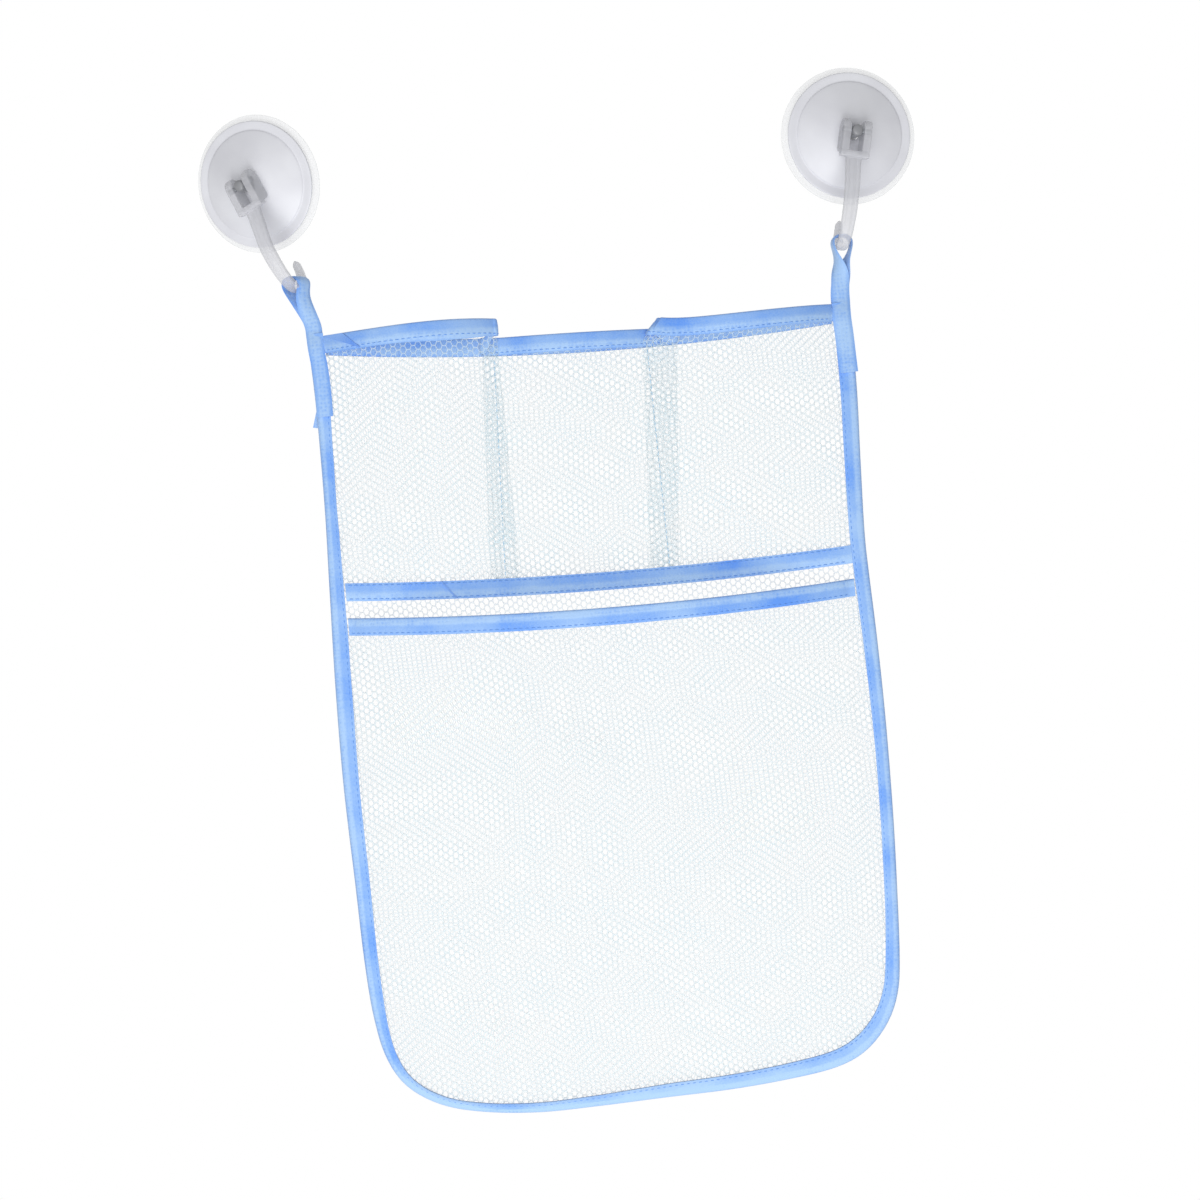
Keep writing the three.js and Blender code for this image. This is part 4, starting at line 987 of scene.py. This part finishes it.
RAW_END_Y = EDGE_SLOT + TAPE_WALL + 0.5  # just behind the binding
RAW_END = ((-131.0, -57.0), (-133.3, -60.5), (-136.3, -70.6), (-131.0, -71.6))


def behind_binding(x, z, lift):
    """A flat face behind the binding by the place across and the height, moved back by a lift."""
    return np.stack([x, RAW_END_Y + lift + 0 * x, z], axis=-1)


left_raw_end = patch("left_loop_raw_end", behind_binding, RAW_END)
fix(left_raw_end, "bag", "tape", loop_cloth)

# Suction cups
# A soft clear vinyl disc, hollow towards the wall, with a stem in its middle that the lever pulls.
# It is moulded in one piece and shows as a pale rim round the white cap.
HOOKS = {  # seat, roll about Y and twist about Z
    "left": ((-138.5, 0, 1.0), -23.2, -24.0),
    "right": ((134.5, 0, -1.0), 12.0, 8.5),
}
WALL_SET, PIN_RISE, PIN_SET = 16.5, 56.0, 2.5  # wall behind a seat, pin above it and in front of it
ROUND = 112  # points round a turned shape
CUP_RADIUS, CUP_RING, CUP_HOLLOW, CUP_EDGE, CUP_ROUND = 34.5, 31.0, 3.2, 1.1, 0.5
STEM = [(3.4, 4.6), (2.9, 5.4), (2.9, 12), (2.9, 20.6), (2.7, 21.3), (2.2, 21.8), (0.5, 21.9)]
QUARTER = np.linspace(0, np.pi / 2, 5)


def hooked(name, local):
    """Points of a hook's own frame, rolled about Y and twisted about Z, then moved to its seat."""
    seat, roll, twist = HOOKS[name]
    cr, sr = math.cos(math.radians(roll)), math.sin(math.radians(roll))
    ct, st = math.cos(math.radians(twist)), math.sin(math.radians(twist))
    about_y = np.array([[cr, 0, sr], [0, 1, 0], [-sr, 0, cr]])
    about_z = np.array([[ct, -st, 0], [st, ct, 0], [0, 0, 1]])
    return local @ (about_y @ about_z).T + np.array(seat)


def close_rings(name, rings, poles=True):
    """A closed surface over rings of equal count, with a fan at each end or joined end to end."""
    r, m = rings.shape[:2]
    row = np.arange(r - 1 if poles else r)[:, None] * m
    k = np.arange(m)[None]
    after = (row + m) % (r * m)
    quads = np.stack([row + k, row + (k + 1) % m, after + (k + 1) % m, after + k], axis=-1).reshape(-1, 4)
    points, tris = rings.reshape(-1, 3), NO_TRIS
    if poles:
        k, last = np.arange(m), (r - 1) * m
        tris = np.concatenate([
            np.stack([(k + 1) % m, k, np.full(m, r * m)], axis=1),
            np.stack([last + k, last + (k + 1) % m, np.full(m, r * m + 1)], axis=1)])
        points = np.concatenate([points, rings[:1].mean(axis=1), rings[-1:].mean(axis=1)])
    return lay_closed(name, points, quads, tris, 45.0)


def lathe(profile):
    """Rings of a profile of radius and height off the wall, turned about the hook's pin line."""
    radius, height = np.asarray(profile, float).T
    turn = np.arange(ROUND) * 2 * np.pi / ROUND
    return np.stack([
        radius[:, None] * np.sin(turn), WALL_SET - height[:, None] + 0 * turn,
        PIN_RISE - radius[:, None] * np.cos(turn)], axis=-1)


def lower_round(radius, height, size):
    """Quarter circle in a profile, from a flat underside out and up to the rim."""
    return np.stack([radius - size + size * np.sin(QUARTER), height + size - size * np.cos(QUARTER)], axis=1)


def upper_round(radius, height, size):
    """Quarter circle in a profile, from the rim up and in to a flat top."""
    return np.stack([radius - size + size * np.cos(QUARTER), height - size + size * np.sin(QUARTER)], axis=1)


def cup_hollow(radius):
    """Height of the hollow: full in the middle, falling with the cube of the radius to the ring."""
    return CUP_HOLLOW * (1 - (radius / CUP_RING) ** 3)


under = np.linspace(0.4, CUP_RING, 16)
over = np.linspace(CUP_RING, 4.6, 14)
cup_profile = np.concatenate([
    np.stack([under, cup_hollow(under)], axis=1),
    [(CUP_RING + 0.6, 0.0), (CUP_RADIUS - 0.9, 0.0)],
    lower_round(CUP_RADIUS, 0.0, CUP_ROUND),
    upper_round(CUP_RADIUS, CUP_EDGE, CUP_ROUND),
    np.stack([over, CUP_EDGE + cup_hollow(over)], axis=1),
    STEM,
])
clear_vinyl, tree, shader, place = new_finish("clear_vinyl")
haze = noise(tree, place, scale=140.0, detail=3.0)
wire(
    shader, Alpha=0.27, Roughness=to_range(tree, haze, (0.3, 0.7), (0.28, 0.42)),
    Base_Color=shades(tree, haze, (0.0, (0.90, 0.905, 0.915)), (1.0, (0.945, 0.95, 0.955))),
    Normal=relief(tree, haze, strength=0.08, depth=0.0004))
# Painted shade: the stem is the same clear vinyl, given a dark grey that stands for the shadow in the slot
# between the lever's ears.
shaded_stem_vinyl, tree, shader, place = new_finish("shaded_stem_vinyl")
haze = noise(tree, place, scale=400.0, detail=3.0)
wire(
    shader, Roughness=0.3,
    Base_Color=shades(tree, haze, (0.0, (0.48, 0.485, 0.50)), (1.0, (0.58, 0.585, 0.60))))
# Faces of the stem, which take that painted shade.
stem_rings = np.arange(len(cup_profile) - 1) >= len(cup_profile) - len(STEM)
stem_faces = np.repeat([*stem_rings, False, True], ROUND).astype(np.int32)
for name in HOOKS:
    cup = close_rings(f"{name}_clear_cup", hooked(name, lathe(cup_profile)))
    fix(cup, f"{name}_sucker", "clear_plastic", clear_vinyl, f"{name}_suction_cup")
    cup.data.materials.append(shaded_stem_vinyl)
    cup.data.polygons.foreach_set("material_index", stem_faces)

# Caps
# A white moulded plate over the cup that spreads the lever's push: a flat flange, a low step, a
# rounded cone and a flat hub with a hole for the stem.
CAP_RADIUS, STEP_RADIUS, HUB_RADIUS, CAP_BORE = 31.6, 26.6, 9.5, 3.4
CAP_UNDER, CAP_TOP, HUB_TOP = 2.58, 3.88, 11.0
STEP_RISE, CONE_POWER, HUB_WALL = 0.75, 1.25, 1.6
cone = np.linspace(STEP_RADIUS - 0.3, HUB_RADIUS + 1.2, 16)
cone_share = (cone - HUB_RADIUS) / (STEP_RADIUS - HUB_RADIUS)
cone_high = HUB_TOP + (CAP_TOP + STEP_RISE - HUB_TOP) * cone_share ** CONE_POWER
cap_step = np.array([(3.0, 0.02), (1.2, 0.0), (0.6, 0.04), (0.35, 0.2), (0.2, 0.55), (0.05, 0.68)])
cap_hub = np.array([(9.9, -0.12), (9.3, 0), (6, 0), (3.8, 0), (CAP_BORE, -0.3)])
cap_profile = np.concatenate([
    [(CAP_BORE, HUB_TOP - HUB_WALL), (HUB_RADIUS, HUB_TOP - HUB_WALL),
     (STEP_RADIUS - 1.6, CAP_UNDER + STEP_RISE), (STEP_RADIUS - 0.2, CAP_UNDER + 0.1),
     (STEP_RADIUS + 0.5, CAP_UNDER), (CAP_RADIUS - 0.7, CAP_UNDER)],
    lower_round(CAP_RADIUS, CAP_UNDER, 0.55),
    upper_round(CAP_RADIUS, CAP_TOP, 0.6),
    cap_step + [STEP_RADIUS, CAP_TOP],
    np.stack([cone, cone_high], axis=1),
    cap_hub + [0, HUB_TOP],
])


def moulding_finish(name, deep, pale, alpha=1.0):
    """Satin moulded plastic: two close whites in slow clouds, with a fine grain in its gloss and bump."""
    material, tree, shader, place = new_finish(name)
    cloud = noise(tree, place, scale=45.0)
    grain = noise(tree, place, scale=2200.0)
    wire(
        shader, Alpha=alpha, Roughness=to_range(tree, grain, (0.3, 0.7), (0.3, 0.42)),
        Base_Color=shades(tree, cloud, (0.3, deep), (0.7, pale)),
        Normal=relief(tree, grain, strength=0.12, depth=0.00008))
    return material


cap_moulding = moulding_finish("cap_moulding", (0.838, 0.84, 0.865), (0.88, 0.884, 0.905))
for name in HOOKS:
    cap = close_rings(f"{name}_white_cap", hooked(name, lathe(cap_profile)), poles=False)
    fix(cap, f"{name}_cover", "white_plastic", cap_moulding, f"{name}_cap")

# Hook levers
# One moulding of frosted white plastic: two round-topped ears on the steel pin, a bar across their
# feet, a grooved arm that narrows downwards and a J. Swung up, the ears let the cup go.
EAR_WIDTH, FORK_SLOT, EAR_ROUND, EAR_BEVEL = 4.0, 6.6, 5.7, 0.5
CAM_SET, FORK_DROP, BAR_THICK = 2.0, 13.6, 3.2  # ears' round behind the pin, bar below it
BOW_SET, BOW_RISE, TIP_SET, TIP_RISE = 9.5, 18.5, 11.0, 12.5  # the J's front and its tip, off the seat
BOW_ABOVE, BOW_BELOW, BEND_EASE, TIP_EASE = 1.35, 0.5, 0.75, 0.3  # how far its curves reach
ARM_THICK, ARM_ROUND, ARM_SQUARE = 3.8, 44, 0.6  # thickness, points round it, how square it is
WIDTH_SHARES, ARM_WIDTHS = [0, 0.06, 0.45, 0.72, 1], [8.8, 8.0, 7.2, 6.0, 3.4]
TIP_CLOSE = 0.03  # share of the length over which the tip closes
GROOVE_DEEP, GROOVE_AT, GROOVE_HALF = 0.6, 0.42, 0.15  # depth, and place and half width in half widths
GROOVE_SHARES, GROOVE_FADES = [0, 0.08, 0.5, 0.62], [0, 1, 1, 0]
BAR_SECTION = np.array([
    (0, 0), (0.25, 0), (0.5, 0), (0.75, 0), (1, 0.1), (1, 0.5), (1, 0.9), (0.75, 1), (0.5, 1),
    (0.25, 1), (0, 1), (-0.06, 0.5)])
SKIN_VOXEL = 0.00032  # metres


def slab(outline, low, high):
    """A flat outline in Y and Z carried across X, shrunk towards its middle at both rounded edges."""
    middle = outline.mean(axis=0)
    reach = np.linalg.norm(outline - middle, axis=1, keepdims=True)
    angle = np.linspace(0, np.pi / 2, 4)
    inset, step = EAR_BEVEL * (1 - np.sin(angle)), EAR_BEVEL * (1 - np.cos(angle))
    x = np.concatenate([low + step, high - step[::-1]])
    flat = middle + (outline - middle) * (1 - np.concatenate([inset, inset[::-1]])[:, None, None] / reach)
    return np.concatenate([np.broadcast_to(x[:, None, None], (*flat.shape[:2], 1)), flat], axis=-1)


back, front, foot = CAM_SET + EAR_ROUND, CAM_SET - EAR_ROUND, -FORK_DROP
ear_turn = np.linspace(0, np.pi, 19)
ear_outline = np.concatenate([
    np.stack([CAM_SET + EAR_ROUND * np.cos(ear_turn), EAR_ROUND * np.sin(ear_turn)], axis=1),
    np.linspace((front, -1), (front, foot), 8),
    np.linspace((front + 1, foot + 0.3), (back - 1, foot + BAR_THICK), 7),
    np.linspace((back, foot + BAR_THICK + 1), (back, -1), 6),
])
bar_outline = BAR_SECTION * [EAR_ROUND, BAR_THICK] + [front, foot - 0.1]
slot_half, fork_half = FORK_SLOT / 2, FORK_SLOT / 2 + EAR_WIDTH
fork_parts = {
    "ear_left": slab(ear_outline, -fork_half, -slot_half),
    "ear_right": slab(ear_outline, slot_half, fork_half),
    "bar": slab(bar_outline, -fork_half, fork_half),
}


def bend(a, b, c, d):
    """Cubic Bezier curve from a to d that starts towards b and arrives from c."""
    t = np.linspace(0, 1, 30)[:, None]
    a, b, c, d = (np.array(p) for p in (a, b, c, d))
    return (1 - t) ** 3 * a + 3 * (1 - t) ** 2 * t * b + 3 * (1 - t) * t * t * c + t ** 3 * d


def arm_rings():
    """Sections along the arm and round the J: a rounded oblong with two grooves down its front."""
    top, low = (-PIN_SET, PIN_RISE - FORK_DROP + BAR_THICK / 2), -ARM_THICK / 2
    bow, seat, tip = (-BOW_SET, BOW_RISE), (0, low), (TIP_SET, TIP_RISE)
    halfway = ((top[0] + bow[0]) / 2, (top[1] + bow[1]) / 2)
    line = evenly(np.concatenate([
        bend(top, halfway, (-BOW_SET, BOW_RISE * BOW_ABOVE), bow),
        bend(bow, (-BOW_SET, BOW_RISE * BOW_BELOW), (-BOW_SET * BEND_EASE, low), seat)[1:],
        bend(seat, (TIP_SET * BEND_EASE, low), (TIP_SET, TIP_RISE * TIP_EASE), tip)[1:],
    ]), 64)
    run = unit(np.gradient(line, axis=0))
    share = np.linspace(0, 1, len(line))
    close = np.sqrt(np.clip((1 - share) / TIP_CLOSE, TIP_CLOSE, 1))
    angle = np.arange(ARM_ROUND) * 2 * np.pi / ARM_ROUND
    across, deep = (np.sign(v) * np.abs(v) ** ARM_SQUARE for v in (np.cos(angle), np.sin(angle)))
    groove = GROOVE_DEEP * np.exp(-((np.abs(across) - GROOVE_AT) / GROOVE_HALF) ** 2) * (deep < 0)
    fade = np.interp(share, GROOVE_SHARES, GROOVE_FADES)
    u = (np.interp(share, WIDTH_SHARES, ARM_WIDTHS) / 2 * close)[:, None] * across
    v = (ARM_THICK / 2 * close)[:, None] * deep + groove * fade[:, None]
    return np.stack([u, line[:, :1] - v * run[:, 1:], line[:, 1:] + v * run[:, :1]], axis=-1)


def moulded(parts):
    """Joins overlapping closed shapes into one skin by a fine voxel remesh, and softens its corners."""
    bpy.ops.object.select_all(action="DESELECT")
    for part in parts:
        part.select_set(True)
    bpy.context.view_layer.objects.active = parts[0]
    bpy.ops.object.join()
    whole = bpy.context.view_layer.objects.active
    remesh = whole.modifiers.new("skin", "REMESH")
    remesh.mode, remesh.voxel_size, remesh.use_smooth_shade = "VOXEL", SKIN_VOXEL, True
    soften = whole.modifiers.new("soften", "SMOOTH")
    soften.factor, soften.iterations = 0.5, 4
    bpy.ops.object.modifier_apply(modifier="skin")
    bpy.ops.object.modifier_apply(modifier="soften")
    whole.select_set(False)
    return whole


lever_moulding = moulding_finish("lever_moulding", (0.815, 0.817, 0.84), (0.855, 0.859, 0.878), 0.5)
pin_at = np.array([0, -PIN_SET, PIN_RISE])
for name in HOOKS:
    arm = close_rings(f"{name}_lever", hooked(name, arm_rings()))
    fork = [close_rings(part, hooked(name, rings + pin_at)) for part, rings in fork_parts.items()]
    lever = moulded([arm, *fork])
    lever.data.materials.clear()
    fix(lever, f"{name}_hook", "white_plastic", lever_moulding, f"{name}_hook_lever")

# Pivot pins
# A plain steel pin through both ears and the stem. It is the CAD's own solid with a brushed finish.
pin_steel, tree, shader, place = new_finish("pin_steel")
brush = noise(tree, place, scale=900.0, detail=4.0)
wire(
    shader, Metallic=1.0, Roughness=to_range(tree, brush, (0.3, 0.7), (0.4, 0.6)),
    Base_Color=shades(tree, brush, (0.0, (0.52, 0.53, 0.55)), (1.0, (0.64, 0.65, 0.67))))
for name in HOOKS:
    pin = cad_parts[f"{name}_pivot_pin"]
    pin.data.materials.clear()
    pin.data.materials.append(pin_steel)

# Camera, light and floor
# The camera looks at the pockets from straight in front, rolled a little, as the bag hangs askew
# in the picture. Wide soft lamps light it, the world is white behind it, and a pale floor lies below.
ROLL, HALF_VIEW = math.radians(4.83), math.radians(13.0)
AIM = np.array([0.0, 0.0, -0.17])
LAMPS = {  # place and size in metres, and power in watts
    "key": ((-0.05, -1.35, -1.15), 1.2, 18.5),
    "fill": ((-0.5, -1.5, -0.1), 1.4, 7.0),
    "back": ((0.2, 1.2, 0.5), 1.4, 6.0),
}
WORLD_LIGHT = 0.40
FLOOR_Z, FLOOR_FALL, FLOOR_THICK = -850, 0.006, 4  # its middle's height, slope outwards and thickness
FLOOR_RADII, FLOOR_ROUND = np.linspace(20, 360, 12)[:, None], 64

camera = bpy.data.objects.new("camera", bpy.data.cameras.new("camera"))
camera.data.sensor_width = 36.0
camera.data.lens = 18.0 / math.tan(HALF_VIEW)
camera.location = (-0.0006, -1.2965, -0.1685)
camera.rotation_euler = (math.pi / 2, ROLL, 0)
bpy.context.scene.collection.objects.link(camera)
bpy.context.scene.camera = camera

for name, (at, size, power) in LAMPS.items():
    lamp = bpy.data.objects.new(name, bpy.data.lights.new(name, "AREA"))
    lamp.data.size, lamp.data.energy = size, power
    lamp.location = at
    way = AIM - np.array(at)
    tilt = math.acos(-way[2] / np.linalg.norm(way))
    lamp.rotation_euler = (tilt, 0, math.atan2(way[1], way[0]) - math.pi / 2)
    bpy.context.scene.collection.objects.link(lamp)

world = bpy.data.worlds.new("studio")
bpy.context.scene.world = world
world.use_nodes = True
tree = world.node_tree
tree.nodes.clear()
path = add_node(tree, "ShaderNodeLightPath").outputs
adding = {"operation": "ADD", "use_clamp": True}
seen = add_node(tree, "ShaderNodeMath", adding, i0=path["Is Camera Ray"], i1=path["Is Glossy Ray"])
seen = add_node(tree, "ShaderNodeMath", adding, i0=seen.outputs[0], i1=path["Is Transmission Ray"])
dim = add_node(tree, "ShaderNodeBackground", Color=(1, 1, 1, 1), Strength=WORLD_LIGHT)
white = add_node(tree, "ShaderNodeBackground", Color=(1, 1, 1, 1), Strength=1.0)
mixed = add_node(tree, "ShaderNodeMixShader", i0=seen.outputs[0], i1=dim.outputs[0], i2=white.outputs[0])
add_node(tree, "ShaderNodeOutputWorld", Surface=mixed.outputs[0])

turn = np.arange(FLOOR_ROUND)[None] * 2 * np.pi / FLOOR_ROUND
floor_z = FLOOR_Z - FLOOR_FALL * FLOOR_RADII + 0 * turn
disc = np.stack([FLOOR_RADII * np.cos(turn), FLOOR_RADII * np.sin(turn), floor_z], axis=-1)
floor = close_rings("pale_floor", np.concatenate([disc, disc[::-1] - [0, 0, FLOOR_THICK]]))
floor_paint, tree, shader, place = new_finish("pale_floor")
cloud = noise(tree, place, scale=6.0)
wire(
    shader, Roughness=0.8,
    Base_Color=shades(tree, cloud, (0.0, (0.93, 0.93, 0.935)), (1.0, (0.96, 0.96, 0.965))))
floor.data.materials.append(floor_paint)

view = bpy.context.scene.view_settings
view.view_transform = "Standard"
bpy.context.view_layer.update()
